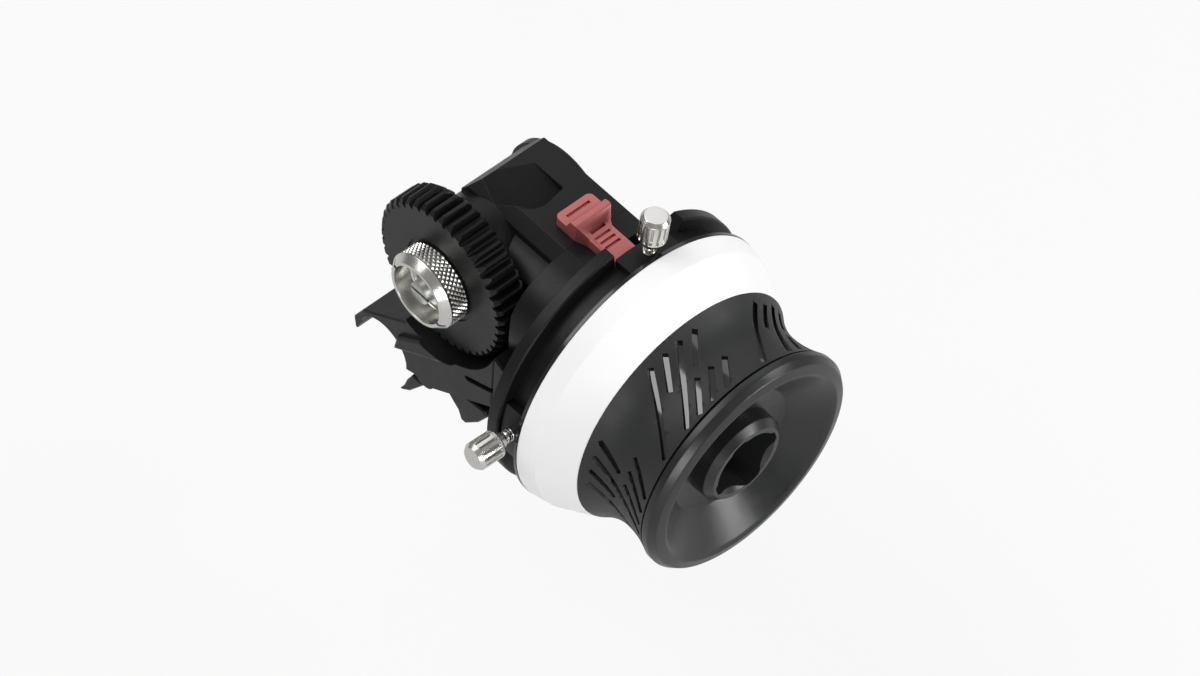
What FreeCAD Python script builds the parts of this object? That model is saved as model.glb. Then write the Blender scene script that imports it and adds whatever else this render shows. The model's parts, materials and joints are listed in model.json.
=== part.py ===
"""Follow focus unit that snaps onto one 15 mm rod.

The frame: the origin is on the rod's axis at the hand wheel's plane of symmetry.  +Y runs along the
rod towards the camera, +X along the hand wheel's axis towards the operator, +Z up.  Millimetres.
"""
import FreeCAD, Part
import math
import os
import re
import Sketcher

Vector = FreeCAD.Vector
Rotation = FreeCAD.Rotation
Placement = FreeCAD.Placement

doc = FreeCAD.newDocument("FollowFocus")
sheet = doc.addObject("Spreadsheet::Sheet", "Dims")

# Driving dimensions.  Angles about the hand wheel's axis count from +Y (0) towards +Z (90).
DIMENSIONS = {
    # rod clamp
    "rod_radius": 7.5,
    "rod_clearance": 0.1,
    "clamp_width": 34.0,
    "hook_tip_x": -8.0,
    "hook_tip_z": 1.8,
    "hook_back_x": -8.5,
    "hook_back_z": 4.6,
    "hook_top_x": -6.0,
    "hook_top_z": 8.9,
    "hook_relief": 3.0,
    "hook_relief_radius": 7.0,
    "hook_relief_x": 0.5,
    "hook_relief_z": 3.4,
    "crease_x": 6.7,
    "crease_z": 17.4,
    "heel_x": 9.6,
    "heel_z": 3.4,
    # clamp jaw, hung on a pin under the body
    "pivot_x": 12.8,
    "pivot_z": 5.6,
    "ear_radius": 2.8,
    "ear_width": 3.6,
    "jaw_pin_radius": 1.25,
    "pin_cover": 1.2,
    "jaw_gap": 0.2,
    "jaw_spring_width": 8.0,
    "jaw_step": 1.0,
    "jaw_tip_x": 5.5,
    "jaw_tip_z": -4.9,
    "jaw_back_x": 8.5,
    "jaw_back_z": -3.3,
    "tail_width": 5.0,
    "tail_foot_x": 19.8,
    "tail_foot_z": -4.6,
    "tail_foot_width": 1.4,
    "tail_end_x": 27.4,
    "tail_end_z": 3.7,
    "tail_round": 0.6,
    # gearbox housing
    "axis_height": 36.0,
    "gear_offset": 13.8,
    "housing_reach": 18.4,
    "arm_rise": 14.0,
    "left_reach": 8.8,
    "left_slope_width": 3.6,
    "left_slope_drop": 4.5,
    "floor_z": 12.0,
    "shoulder_drop": 5.0,
    "belly_z": 15.1,
    "belly_slope": 0.65,
    "arm_front": -1.7,
    "arm_back": 16.5,
    "arm_chamfer": 2.5,
    "gear_set_back": 10.2,
    "front_boss_radius": 12.0,
    "rear_boss_radius": 13.2,
    "rear_boss_face": 18.0,
    "neck_radius": 10.0,
    "pocket_clearance": 1.1,
    "scoop_start_x": 12.1,
    "scoop_right_x": 20.4,
    "scoop_corner_x": 21.7,
    "scoop_corner_y": 2.7,
    "scoop_back_y": 10.8,
    "scoop_near_slope": 0.48,
    "scoop_round": 4.5,
    "scoop_tilt": 14.2,
    "scoop_lean": 6.8,
    "panel_rise": 1.2,
    "panel_left_x": 4.4,
    "panel_left_z": 7.6,
    "panel_left_height": 4.8,
    "panel_foot_x": 20.9,
    "panel_foot_z": 18.1,
    "panel_end_x": 24.1,
    "panel_end_z": 26.0,
    "panel_round": 0.8,
    "slot_width": 1.4,
    "slot_length": 9.0,
    "slot_depth": 1.8,
    "slot_x": 25.4,
    "slot_z": 16.9,
    "slot_slope": 0.42,
    # drive gear
    "gear_module": 0.8,
    "gear_teeth": 43,
    "gear_width": 7.6,
    "gear_gap": 0.5,
    "gear_face_recess": 0.35,
    "nut_seat_gap": 0.8,
    "tooth_chamfer": 1.0,
    "tooth_tip_round": 0.25,
    "pressure_angle": 20.0,
    # shafts, bearings and bevel pair
    "shaft_radius": 3.0,
    "running_gap": 0.03,
    "bearing_radius": 6.0,
    "bearing_width": 4.0,
    "bearing_groove": 0.3,
    "bearing_lip": 1.0,
    "bearing_end_gap": 0.05,
    "outer_bearing_inset": 0.4,
    "gear_bearing_space": 1.0,
    "bush_radius": 4.0,
    "chamber_radius": 6.2,
    "chamber_wall": 1.2,
    "bevel_pitch": 4.8,
    "bevel_teeth": 16,
    "bevel_face": 2.0,
    "bevel_addendum": 0.5,
    "bevel_dedendum": 0.65,
    "bevel_backlash": 0.1,
    "bevel_hub": 2.4,
    "pinion_radius": 2.0,
    "seat_radius": 4.0,
    "seat_flat": 3.3,
    "stud_radius": 3.4,
    "stud_length": 5.2,
    "shoulder_radius": 6.5,
    "driver_slot": 0.8,
    "driver_depth": 1.0,
    "edge_break": 0.3,
    "rim_break": 0.5,
    # knurled nut that holds the drive gear
    "nut_radius": 8.6,
    "nut_length": 6.3,
    "nut_lip": 1.6,
    "nut_back_chamfer": 0.6,
    "nut_cup_taper": 0.4,
    "nut_cup_radius": 6.6,
    "nut_base": 2.2,
    "nut_notch": 0.8,
    "nut_notch_depth": 1.2,
    "nut_notch_angle": 24,
    "thread_gap": 0.05,
    # rear output cap
    "cap_radius": 10.0,
    "cap_thickness": 1.6,
    "cap_hole": 2.6,
    "cap_screw_circle": 7.8,
    "cap_screw_radius": 0.9,
    "cap_screw_length": 5.0,
    "cap_screw_head": 1.5,
    "cap_fit": 0.1,
    # collar and flange
    "collar_radius": 14.0,
    "collar_arm_length": 5.6,
    "collar_length": 11.1,
    "collar_flare": 4.0,
    "collar_flare_radius": 17.0,
    "flange_inner_radius": 24.0,
    "flange_bevel": 2.9,
    "flange_edge": 2.6,
    "flange_radius": 31.5,
    "foot_step": 1.6,
    "foot_drop": 5.0,
    "notch_start": 62.0,
    "notch_end": 96.0,
    "notch_radius": 17.0,
    "collar_screw_circle": 11.5,
    "collar_screw_radius": 1.25,
    "collar_screw_head": 2.3,
    "collar_screw_head_length": 2.2,
    "collar_screw_length": 20.0,
    # stop track and hard stops
    "track_radius": 28.5,
    "track_wall": 3.0,
    "track_length": 4.6,
    "slider_gap": 0.12,
    "slider_height": 2.0,
    "slider_span": 24.0,
    "stop_a_angle": 84.0,
    "stop_b_angle": 176.0,
    "stop_screw_stand": 2.7,
    "stop_stem_radius": 1.3,
    "stop_collar_radius": 1.7,
    "stop_collar_length": 1.4,
    "stop_tip_gap": 0.06,
    "stop_neck": 3.4,
    "stop_head_radius": 2.9,
    "stop_head_length": 6.2,
    "stop_head_edge": 0.5,
    "stop_cap": 0.7,
    "stop_flutes": 12,
    "stop_flute_width": 0.8,
    "stop_flute_depth": 0.35,
    "stop_flute_margin": 1.0,
    "stop_pin_angle": -50.0,
    "stop_pin_radius": 1.3,
    "stop_pin_rise": 1.7,
    "stop_pin_gap": 1.0,
    # hand wheel
    "wheel_gap": 0.5,
    "back_plate": 0.7,
    "disc_back_radius": 31.7,
    "disc_crease_radius": 30.8,
    "disc_band": 4.4,
    "disc_length": 12.0,
    "disc_front_radius": 27.1,
    "drum_radius": 22.4,
    "drum_wall": 2.4,
    "hub_radius": 7.0,
    "hub_nose_radius": 3.9,
    "web_thickness": 3.0,
    "sleeve_length": 15.6,
    "sleeve_front_radius": 25.5,
    "waist_radius": 23.7,
    "waist_bow": 20.0,
    "waist_place": 0.53,
    "slot_groups": 5,
    "slot_group_step": 64.3,
    "slot_start": 48.7,
    "slot_pitch": 8.45,
    "slot_twist": 2.0,
    "sleeve_slot_width": 1.2,
    "slot_back_end": 1.5,
    "slot_front_end": 0.8,
    "slot_land": 1.8,
    "dial_rim_radius": 25.4,
    "dial_rim_length": 2.0,
    "dial_bevel_radius": 24.4,
    "dial_bevel": 1.4,
    "dial_lip": 0.5,
    "dial_groove": 0.5,
    "dial_seat": 6.4,
    "dish_radius": 22.0,
    "dish_lip": 1.1,
    "dish_depth": 5.5,
    "dish_step_radius": 14.8,
    "dish_step": 0.5,
    "boss_radius": 9.9,
    "boss_face_radius": 8.5,
    "boss_bevel": 1.4,
    "boss_set_back": 1.6,
    "socket_width": 13.0,
    "socket_reach": 7.9,
    "socket_mouth": 7.4,
    "socket_bevel": 0.9,
    "socket_turn": -26.0,
    "socket_depth": 7.0,
    "hub_screw_radius": 1.5,
    "hub_screw_head": 2.75,
    "hub_screw_head_length": 2.2,
    "hub_screw_length": 9.0,
    # latch on the top of the arm
    "latch_setback": 6.4,
    "latch_head_length": 5.9,
    "latch_length": 16.4,
    "latch_near_y": 3.4,
    "latch_width": 9.2,
    "tongue_inset": 1.0,
    "tongue_width": 5.8,
    "tongue_flare": 2.6,
    "latch_round": 1.2,
    "latch_fillet": 2.4,
    "latch_gap": 0.15,
    "latch_plate": 2.3,
    "latch_hump": 4.3,
    "latch_rest_length": 3.4,
    "hump_rise_length": 0.9,
    "hump_fall_length": 3.0,
    "hump_round": 0.8,
    "latch_stroke": 3.0,
    "grip_slot": 0.7,
    "grip_slot_depth": 0.5,
    "grip_slots": 4,
    "grip_slot_step": 1.45,
    "grip_slot_length": 3.8,
    "back_slot_start": 1.4,
    "back_slot_length": 6.0,
    "bolt_width": 3.4,
    "bolt_height": 3.4,
    "bolt_setback": 2.6,
    "bolt_reach": 2.3,
    "bolt_gap": 0.2,
    "spring_radius": 1.3,
    "spring_wire": 0.25,
    "spring_length": 5.0,
}

for row, (alias, value) in enumerate(DIMENSIONS.items(), start=1):
    sheet.set("A%d" % row, str(value))
    sheet.setAlias("A%d" % row, alias)
doc.recompute()

# Places and sizes that follow from the driving dimensions.
PLACES = {
    "rod_bore": "rod_radius + rod_clearance",
    "clamp_front": "-clamp_width / 2",
    "clamp_back": "clamp_width / 2",
    "seam_x": "gear_offset + housing_reach",
    "top_z": "axis_height + arm_rise",
    "shoulder_z": "axis_height - shoulder_drop",
    "left_x": "gear_offset - left_reach",
    "arm_middle": "(arm_back + arm_front) / 2",
    "housing_front": "clamp_front + gear_set_back",
    "gear_back": "housing_front - gear_gap",
    "gear_front": "gear_back - gear_width",
    "gear_tip": "gear_module * (gear_teeth / 2 + 1)",
    "gear_root": "gear_module * (gear_teeth / 2 - 1.25)",
    "seat_front": "gear_front + gear_face_recess + running_gap",
    "nut_front": "gear_front + gear_face_recess - nut_length",
    "chamber_front": "housing_front + chamber_wall",
    "inner_bearing_x": "gear_offset + inner_bearing_y",
    "inner_bearing_y": "bevel_pitch + bevel_hub + bearing_end_gap",
    "outer_bearing_y": "inner_bearing_y + bearing_width + gear_bearing_space",
    "outer_bearing_x": "flange_face_x - outer_bearing_inset - bearing_width",
    "hub_nose": "flange_face_x - outer_bearing_inset + bearing_end_gap",
    "collar_arm_end": "seam_x + collar_arm_length",
    "flange_back_x": "seam_x + collar_length",
    "flange_rim_x": "flange_back_x + flange_bevel",
    "flange_face_x": "flange_rim_x + flange_edge",
    "track_end_x": "flange_face_x + track_length",
    "stop_screw_x": "flange_face_x + stop_screw_stand",
    "slider_inner": "track_radius + slider_gap",
    "slider_outer": "slider_inner + slider_height",
    "stop_head_start": "slider_outer + stop_neck",
    "stop_head_end": "stop_head_start + stop_head_length",
    "stop_pin_circle": "track_radius + stop_pin_rise",
    "wheel_back": "track_end_x + wheel_gap",
    "disc_back": "wheel_back + back_plate",
    "sleeve_back": "disc_back + disc_length",
    "waist_x": "sleeve_back + sleeve_length * waist_place",
    "dial_back": "sleeve_back + sleeve_length",
    "dial_bevel_start": "dial_back + dial_rim_length",
    "wheel_front": "dial_bevel_start + dial_bevel + dial_lip",
    "hub_face": "dial_back - dial_seat",
    "boss_face": "wheel_front - boss_set_back",
    "socket_floor": "boss_face - socket_depth",
    "latch_back_x": "seam_x - latch_setback",
    "latch_head_end": "latch_back_x + latch_head_length",
    "latch_front_x": "latch_back_x + latch_length",
    "latch_far_y": "latch_near_y + latch_width",
    "tongue_near_y": "latch_near_y + tongue_inset",
    "tongue_far_y": "tongue_near_y + tongue_width",
    "latch_base": "top_z + latch_gap",
    "latch_top": "latch_base + latch_plate",
    "hump_top": "latch_base + latch_hump",
    "bolt_back_x": "seam_x - bolt_setback",
    "bolt_front_x": "seam_x + bolt_reach",
    "bolt_y": "(latch_near_y + latch_far_y - bolt_width) / 2",
    "spring_x": "bolt_back_x - latch_stroke - spring_length",
    "spring_reach": "spring_length + latch_stroke",
}

WORD = re.compile(r"[a-z][a-z0-9_]*")


def size(alias):
    """The value of one driving dimension, read from the sheet."""
    return float(sheet.get(alias))


def spelled(word):
    """A place written out in brackets, a driving dimension pointed at the sheet, or the word itself."""
    if word[0] in PLACES:
        return "(" + formula(PLACES[word[0]]) + ")"
    return "Dims." + word[0] if word[0] in DIMENSIONS else word[0]


def formula(text):
    return WORD.sub(spelled, text)


def bind(thing, prop, text):
    thing.setExpression(prop, formula(text))


TURNS = {
    "X": Rotation(Vector(0, 1, 0), 90),
    "Y": Rotation(Vector(1, 0, 0), -90),
    "Z": Rotation(),
}


def place(thing, axis, x="0", y="0", z="0", about_x=0.0):
    """Lay the thing's own Z along the named axis, turn it about X and move it to x, y, z."""
    turn = Rotation(Vector(1, 0, 0), about_x).multiply(TURNS[axis])
    thing.Placement = Placement(Vector(), turn)
    for part, text in (("x", x), ("y", y), ("z", z)):
        bind(thing, "Placement.Base." + part, text)
    return thing


def on_wheel_axis(thing, about_x=0.0):
    """The thing's own Z becomes the hand wheel's axis, and its own height is the frame's X."""
    return place(thing, "X", z="axis_height", about_x=about_x)


def on_gear_axis(thing):
    """The thing's own Z becomes the drive gear's axis, and its own height is the frame's Y."""
    return place(thing, "Y", x="gear_offset", z="axis_height")


def origin_plane(body, role):
    return [item for item in body.Origin.OriginFeatures if item.Role == role][0]


def sketch_on(body, role, name, offset=None):
    sketch = body.newObject("Sketcher::SketchObject", name)
    sketch.AttachmentSupport = [(origin_plane(body, role), "")]
    sketch.MapMode = "FlatFace"
    if offset is not None:
        bind(sketch, "AttachmentOffset.Base.z", offset)
    return sketch


def draw_polygon(sketch, points):
    """A closed outline whose corners are held by expressions, one pair for each corner."""
    count = len(points)
    start = sketch.GeometryCount
    loose = []
    for index in range(count):
        angle = 2 * math.pi * index / count
        loose.append(Vector(2 + math.cos(angle), 2 + math.sin(angle), 0))
    for index in range(count):
        line = Part.LineSegment(loose[index], loose[(index + 1) % count])
        sketch.addGeometry(line, False)
    for index in range(count):
        after = start + (index + 1) % count
        sketch.addConstraint(Sketcher.Constraint("Coincident", start + index, 2, after, 1))
    for index, corner in enumerate(points):
        for kind, text, value in zip(("DistanceX", "DistanceY"), corner, loose[index]):
            held = Sketcher.Constraint(kind, -1, 1, start + index, 1, value)
            number = sketch.addConstraint(held)
            bind(sketch, "Constraints[%d]" % number, text)


def new_body(name):
    return doc.addObject("PartDesign::Body", name)


def revolved(name, points, angle=None):
    """A body turned about its own Z from an outline of radius and height."""
    body = new_body(name)
    sketch = sketch_on(body, "XZ_Plane", name + "_outline")
    draw_polygon(sketch, points)
    turned = body.newObject("PartDesign::Revolution", name + "_turned")
    turned.Profile = sketch
    turned.ReferenceAxis = (sketch, ["V_Axis"])
    turned.Angle = 360
    if angle is not None:
        turned.Midplane = True
        bind(turned, "Angle", angle)
    return body


def extruded(name, role, points, length, offset="0", body=None):
    """A body pushed both ways out of a plane that lies offset from its own origin plane."""
    if body is None:
        body = new_body(name)
    sketch = sketch_on(body, role, name + "_outline", offset)
    draw_polygon(sketch, points)
    pad = body.newObject("PartDesign::Pad", name + "_pad")
    pad.Profile = sketch
    pad.Midplane = True
    bind(pad, "Length", length)
    return body


def edges_of(shape, wanted):
    """Names of the shape's edges for which wanted(edge) holds."""
    return ["Edge%d" % (n + 1) for n, edge in enumerate(shape.Edges) if wanted(edge)]


def dressed(body, kind, wanted, amount):
    """A chamfer or a fillet on the tip's edges for which wanted(edge, the tip's box) holds."""
    doc.recompute()
    tip = body.Tip
    box = tip.Shape.BoundBox
    feature = body.newObject("PartDesign::" + kind, body.Name + "_" + kind.lower())
    feature.Base = (tip, edges_of(tip.Shape, lambda edge: wanted(edge.BoundBox, box)))
    bind(feature, "Radius" if kind == "Fillet" else "Size", amount)
    return body


NEAR = 0.01


def near_top_edge(edge, box):
    """The long edge between the top and the front face."""
    return abs(edge.ZMin - box.ZMax) < NEAR and abs(edge.YMax - box.YMin) < NEAR


def end_face_edge(edge, box):
    """An edge that lies all in the front or the back face."""
    in_front = abs(edge.YMax - box.YMin) < NEAR
    return in_front or abs(edge.YMin - box.YMax) < NEAR


def upright_at(places):
    """A test for edges that stand upright at one of the places along X."""
    def wanted(edge, box):
        upright = edge.XLength < NEAR and edge.YLength < NEAR
        return upright and any(abs(edge.XMin - place) < NEAR for place in places(box))
    return wanted


def rod_like(name, axis, radius, length, x="0", y="0", z="0"):
    """A plain cylinder that starts at x, y, z and runs along the named axis."""
    item = doc.addObject("Part::Cylinder", name)
    bind(item, "Radius", radius)
    bind(item, "Height", length)
    return place(item, axis, x, y, z)


def block(name, length, width, height, x, y, z):
    item = doc.addObject("Part::Box", name)
    bind(item, "Length", length)
    bind(item, "Width", width)
    bind(item, "Height", height)
    return place(item, "Z", x, y, z)


def centred(item, sides, turn, target):
    """Turn a block about its own middle and carry the middle to the target."""
    item.Placement = Placement(Vector(), turn)
    axes = [turn.multVec(axis) for axis in (Vector(1, 0, 0), Vector(0, 1, 0), Vector(0, 0, 1))]
    for row, part in enumerate("xyz"):
        halves = ["(%s) / 2 * %.6f" % (side, axis[row]) for side, axis in zip(sides, axes)]
        bind(item, "Placement.Base." + part, " - ".join([target[row]] + halves))
    return item


def fused(name, items):
    item = doc.addObject("Part::MultiFuse", name)
    item.Shapes = items
    return item


def cut(name, base, tools):
    item = doc.addObject("Part::Cut", name)
    item.Base = base
    item.Tool = tools[0] if len(tools) == 1 else fused(name + "_tools", tools)
    return item


def common(name, first, second):
    item = doc.addObject("Part::Common", name)
    item.Base = first
    item.Tool = second
    return item


def grouped(name, items):
    item = doc.addObject("Part::Compound", name)
    item.Links = items
    return item


def number(text):
    """The value of a formula as it stands."""
    return float(sheet.evalExpression(formula(text)))


def polar(radius, angle):
    """Corner expressions at a radius and an angle in degrees."""
    return ("(%s) * cos(%s)" % (radius, angle), "(%s) * sin(%s)" % (radius, angle))


nodes = []


def node(thing, label):
    thing.Label = label
    nodes.append(thing)
    return thing




# ---------------------------------------------------------------- gearbox housing and rod clamp
def belly(x_place):
    """Height of the sloping underside at a place along X."""
    return "belly_z + belly_slope * (%s - seam_x)" % x_place


def gear_pocket(name):
    """The round recess in which the drive gear turns, open to the front."""
    start = "clamp_front - panel_rise - 1"
    return rod_like(name, "Y", "gear_tip + pocket_clearance", "housing_front - (%s)" % start,
                    "gear_offset", start, "axis_height")


def front_face_edge(edge, box):
    """An edge that lies all in the front face."""
    return abs(edge.YMax - box.YMin) < NEAR


def housing():
    clamp = extruded("clamp_block", "XZ_Plane", [
        ("hook_tip_x", "hook_tip_z"),
        ("hook_back_x", "hook_back_z"),
        ("hook_top_x", "hook_top_z"),
        ("crease_x", "crease_z"),
        ("crease_x", "shoulder_z"),
        ("seam_x", "shoulder_z"),
        ("seam_x", belly("seam_x")),
        ("pivot_x + ear_radius / 2", belly("(pivot_x + ear_radius / 2)")),
        ("heel_x", "heel_z"),
        ("0", "0"),
    ], "clamp_width")
    dressed(clamp, "Chamfer", end_face_edge, "edge_break")
    panel = extruded("front_panel", "XZ_Plane", [
        ("panel_left_x", "panel_left_z"),
        ("panel_left_x + 1", "panel_left_z + panel_left_height"),
        ("panel_end_x - gear_module * 10", "panel_end_z - gear_module * 7"),
        ("panel_end_x", "panel_end_z"),
        ("panel_end_x - slot_width", "panel_foot_z + slot_width"),
        ("panel_foot_x", "panel_foot_z"),
    ], "panel_rise * 2", "-clamp_front")
    dressed(panel, "Fillet", front_face_edge, "panel_round")
    arm = extruded("gearbox_block", "XZ_Plane", [
        ("left_x", "floor_z"),
        ("left_x", "top_z - left_slope_drop"),
        ("left_x + left_slope_width", "top_z"),
        ("seam_x", "top_z"),
        ("seam_x", belly("seam_x")),
    ], "arm_back - arm_front", "-arm_middle")
    dressed(arm, "Chamfer", near_top_edge, "arm_chamfer")
    boss_depth = "arm_front - housing_front + 1"
    front_boss = rod_like("front_boss", "Y", "front_boss_radius", boss_depth, "gear_offset",
                          "housing_front", "axis_height")
    rear_boss = on_gear_axis(revolved("rear_boss", [
        ("0", "arm_back - 1"),
        ("rear_boss_radius", "arm_back - 1"),
        ("rear_boss_radius", "rear_boss_face - rim_break"),
        ("rear_boss_radius - rim_break", "rear_boss_face"),
        ("0", "rear_boss_face"),
    ]))
    neck = rod_like("neck", "X", "neck_radius", "seam_x - gear_offset", "gear_offset", "0",
                    "axis_height")
    ears = rod_like("ears", "Y", "ear_radius", "clamp_width", "pivot_x", "clamp_front", "pivot_z")
    blank = fused("housing_blank", [clamp, panel, arm, front_boss, rear_boss, neck, ears])
    return cut("housing_cut", blank, housing_hollows())


def scoop():
    """The thumb relief on the arm: a tilted floor inside a rounded plan outline."""
    left = "left_x - 3"
    plan = extruded("scoop_plan", "XY_Plane", [
        (left, "scoop_corner_y - scoop_near_slope * (scoop_corner_x - (%s))" % left),
        ("scoop_corner_x", "scoop_corner_y"),
        ("scoop_right_x", "scoop_back_y"),
        (left, "scoop_back_y"),
    ], "arm_rise", "top_z")
    dressed(plan, "Fillet", upright_at(lambda box: [box.XMax]), "scoop_round")
    side = "4 * arm_back"
    floor = block("scoop_floor", side, side, "arm_back", "0", "0", "0")
    turn = Rotation(Vector(0, 1, 0), size("scoop_tilt"))
    turn = turn.multiply(Rotation(Vector(1, 0, 0), size("scoop_lean")))
    centred(floor, (side, side, "0"), turn, ("scoop_start_x", "scoop_back_y", "top_z"))
    return common("scoop_tool", plan, floor)


def housing_hollows():
    bore = rod_like("rod_hole", "Y", "rod_bore", "clamp_width + 4", "0", "clamp_front - 2", "0")
    hollows = [bore, scoop()]
    for end, start in (("front", "clamp_front - 1"), ("back", "clamp_back - hook_relief")):
        hollows.append(rod_like("hook_relief_" + end, "Y", "hook_relief_radius", "hook_relief + 1",
                                "hook_relief_x", start, "hook_relief_z"))
    chamber = rod_like("gear_chamber", "Y", "chamber_radius", "inner_bearing_y - chamber_front",
                       "gear_offset", "chamber_front", "axis_height")
    bush_hole = rod_like("bush_hole", "Y", "bush_radius", "chamber_wall + 2", "gear_offset",
                         "housing_front - 1", "axis_height")
    gear_bearings = rod_like("gear_bearing_bore", "Y", "bearing_radius",
                             "rear_boss_face - inner_bearing_y + 1", "gear_offset",
                             "inner_bearing_y", "axis_height")
    cap_seat = rod_like("cap_seat", "Y", "cap_radius", "cap_thickness + 1", "gear_offset",
                        "rear_boss_face - cap_thickness", "axis_height")
    side_chamber = rod_like("wheel_chamber", "X", "chamber_radius",
                            "inner_bearing_x - gear_offset", "gear_offset", "0", "axis_height")
    wheel_bearing = rod_like("wheel_bearing_bore", "X", "bearing_radius",
                             "seam_x - inner_bearing_x + 1", "inner_bearing_x", "0",
                             "axis_height")
    jaw_room = "ear_radius + jaw_gap"
    jaw_bay = rod_like("jaw_bay", "Y", jaw_room, "clamp_width - 2 * ear_width", "pivot_x",
                       "clamp_front + ear_width", "pivot_z")
    pin_hole = rod_like("jaw_pin_hole", "Y", "jaw_pin_radius", "clamp_width", "pivot_x",
                        "clamp_front + pin_cover", "pivot_z")
    jaw_door = extruded("jaw_door", "XZ_Plane", [
        ("0", "0"),
        ("pivot_x - ear_radius * 1.45", "pivot_z + ear_radius / 2"),
        ("pivot_x", "pivot_z"),
        ("seam_x", "pivot_z + belly_slope * (seam_x - pivot_x) / 2"),
        ("seam_x", "-belly_z"),
        ("0", "-belly_z"),
    ], "clamp_width - 2 * ear_width")
    slot = block("front_slot", "slot_length", "slot_depth + 1", "slot_width", "slot_x",
                 "clamp_front - 1", "slot_z")
    slot_end = rod_like("front_slot_end", "Y", "slot_width / 2", "slot_depth + 1",
                        "slot_x - slot_width / 2 * sin(atan(slot_slope))", "clamp_front - 1",
                        "slot_z + slot_width / 2 * cos(atan(slot_slope))")
    slot.Placement.Rotation = Rotation(Vector(0, 1, 0), -math.degrees(math.atan(size("slot_slope"))))
    bolt_bay = block("bolt_bay", "seam_x - bolt_back_x + latch_stroke + bolt_gap + 1",
                     "bolt_width + 2 * bolt_gap", "bolt_height + bolt_gap + 1",
                     "bolt_back_x - latch_stroke - bolt_gap",
                     "bolt_y - bolt_gap", "top_z - bolt_height - bolt_gap")
    spring_bay = rod_like("spring_bay", "X", "spring_radius + bolt_gap", "spring_length + bolt_gap + 1",
                          "spring_x - bolt_gap", "bolt_y + bolt_width / 2",
                          "top_z - bolt_height / 2")
    hollows += [chamber, bush_hole, gear_bearings, cap_seat, side_chamber, wheel_bearing]
    hollows += [jaw_bay, jaw_door, pin_hole, slot, slot_end, bolt_bay, spring_bay]
    hollows += [gear_pocket("housing_gear_pocket")]
    hollows += cap_screws("cap_screw_hole")
    hollows += collar_screws("housing_screw_hole")
    return hollows


CAP_SCREW_ANGLES = (90, 210, 330)
COLLAR_SCREW_ANGLES = (45, 250, 315)


def cap_screws(name):
    """Three countersunk screws that hold the rear cap, or the holes for them."""
    items = []
    for angle in CAP_SCREW_ANGLES:
        turned = revolved("%s_%d" % (name, angle), [
            ("0", "-cap_screw_length"),
            ("cap_screw_radius", "-cap_screw_length"),
            ("cap_screw_radius", "cap_screw_radius - cap_screw_head"),
            ("cap_screw_head", "0"),
            ("0", "0"),
        ])
        items.append(place(turned, "Y", "gear_offset + cap_screw_circle * cos(%d)" % angle,
                           "rear_boss_face", "axis_height + cap_screw_circle * sin(%d)" % angle))
    return items


def collar_screws(name):
    """Three long screws through the collar into the housing, or the holes for them."""
    items = []
    for angle in COLLAR_SCREW_ANGLES:
        y_place = "collar_screw_circle * cos(%d)" % angle
        z_place = "axis_height + collar_screw_circle * sin(%d)" % angle
        shank = rod_like("%s_%d" % (name, angle), "X", "collar_screw_radius", "collar_screw_length",
                         "flange_face_x - collar_screw_length", y_place, z_place)
        head = rod_like("%s_head_%d" % (name, angle), "X", "collar_screw_head",
                        "collar_screw_head_length", "flange_face_x - collar_screw_head_length",
                        y_place, z_place)
        items.append(fused("%s_whole_%d" % (name, angle), [shank, head]))
    return items


node(housing(), "gearbox_housing")
node(grouped("cap_screw_group", cap_screws("cap_screw")), "rear_cap_screws")
node(grouped("collar_screw_group", collar_screws("collar_screw")), "collar_screws")


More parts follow.
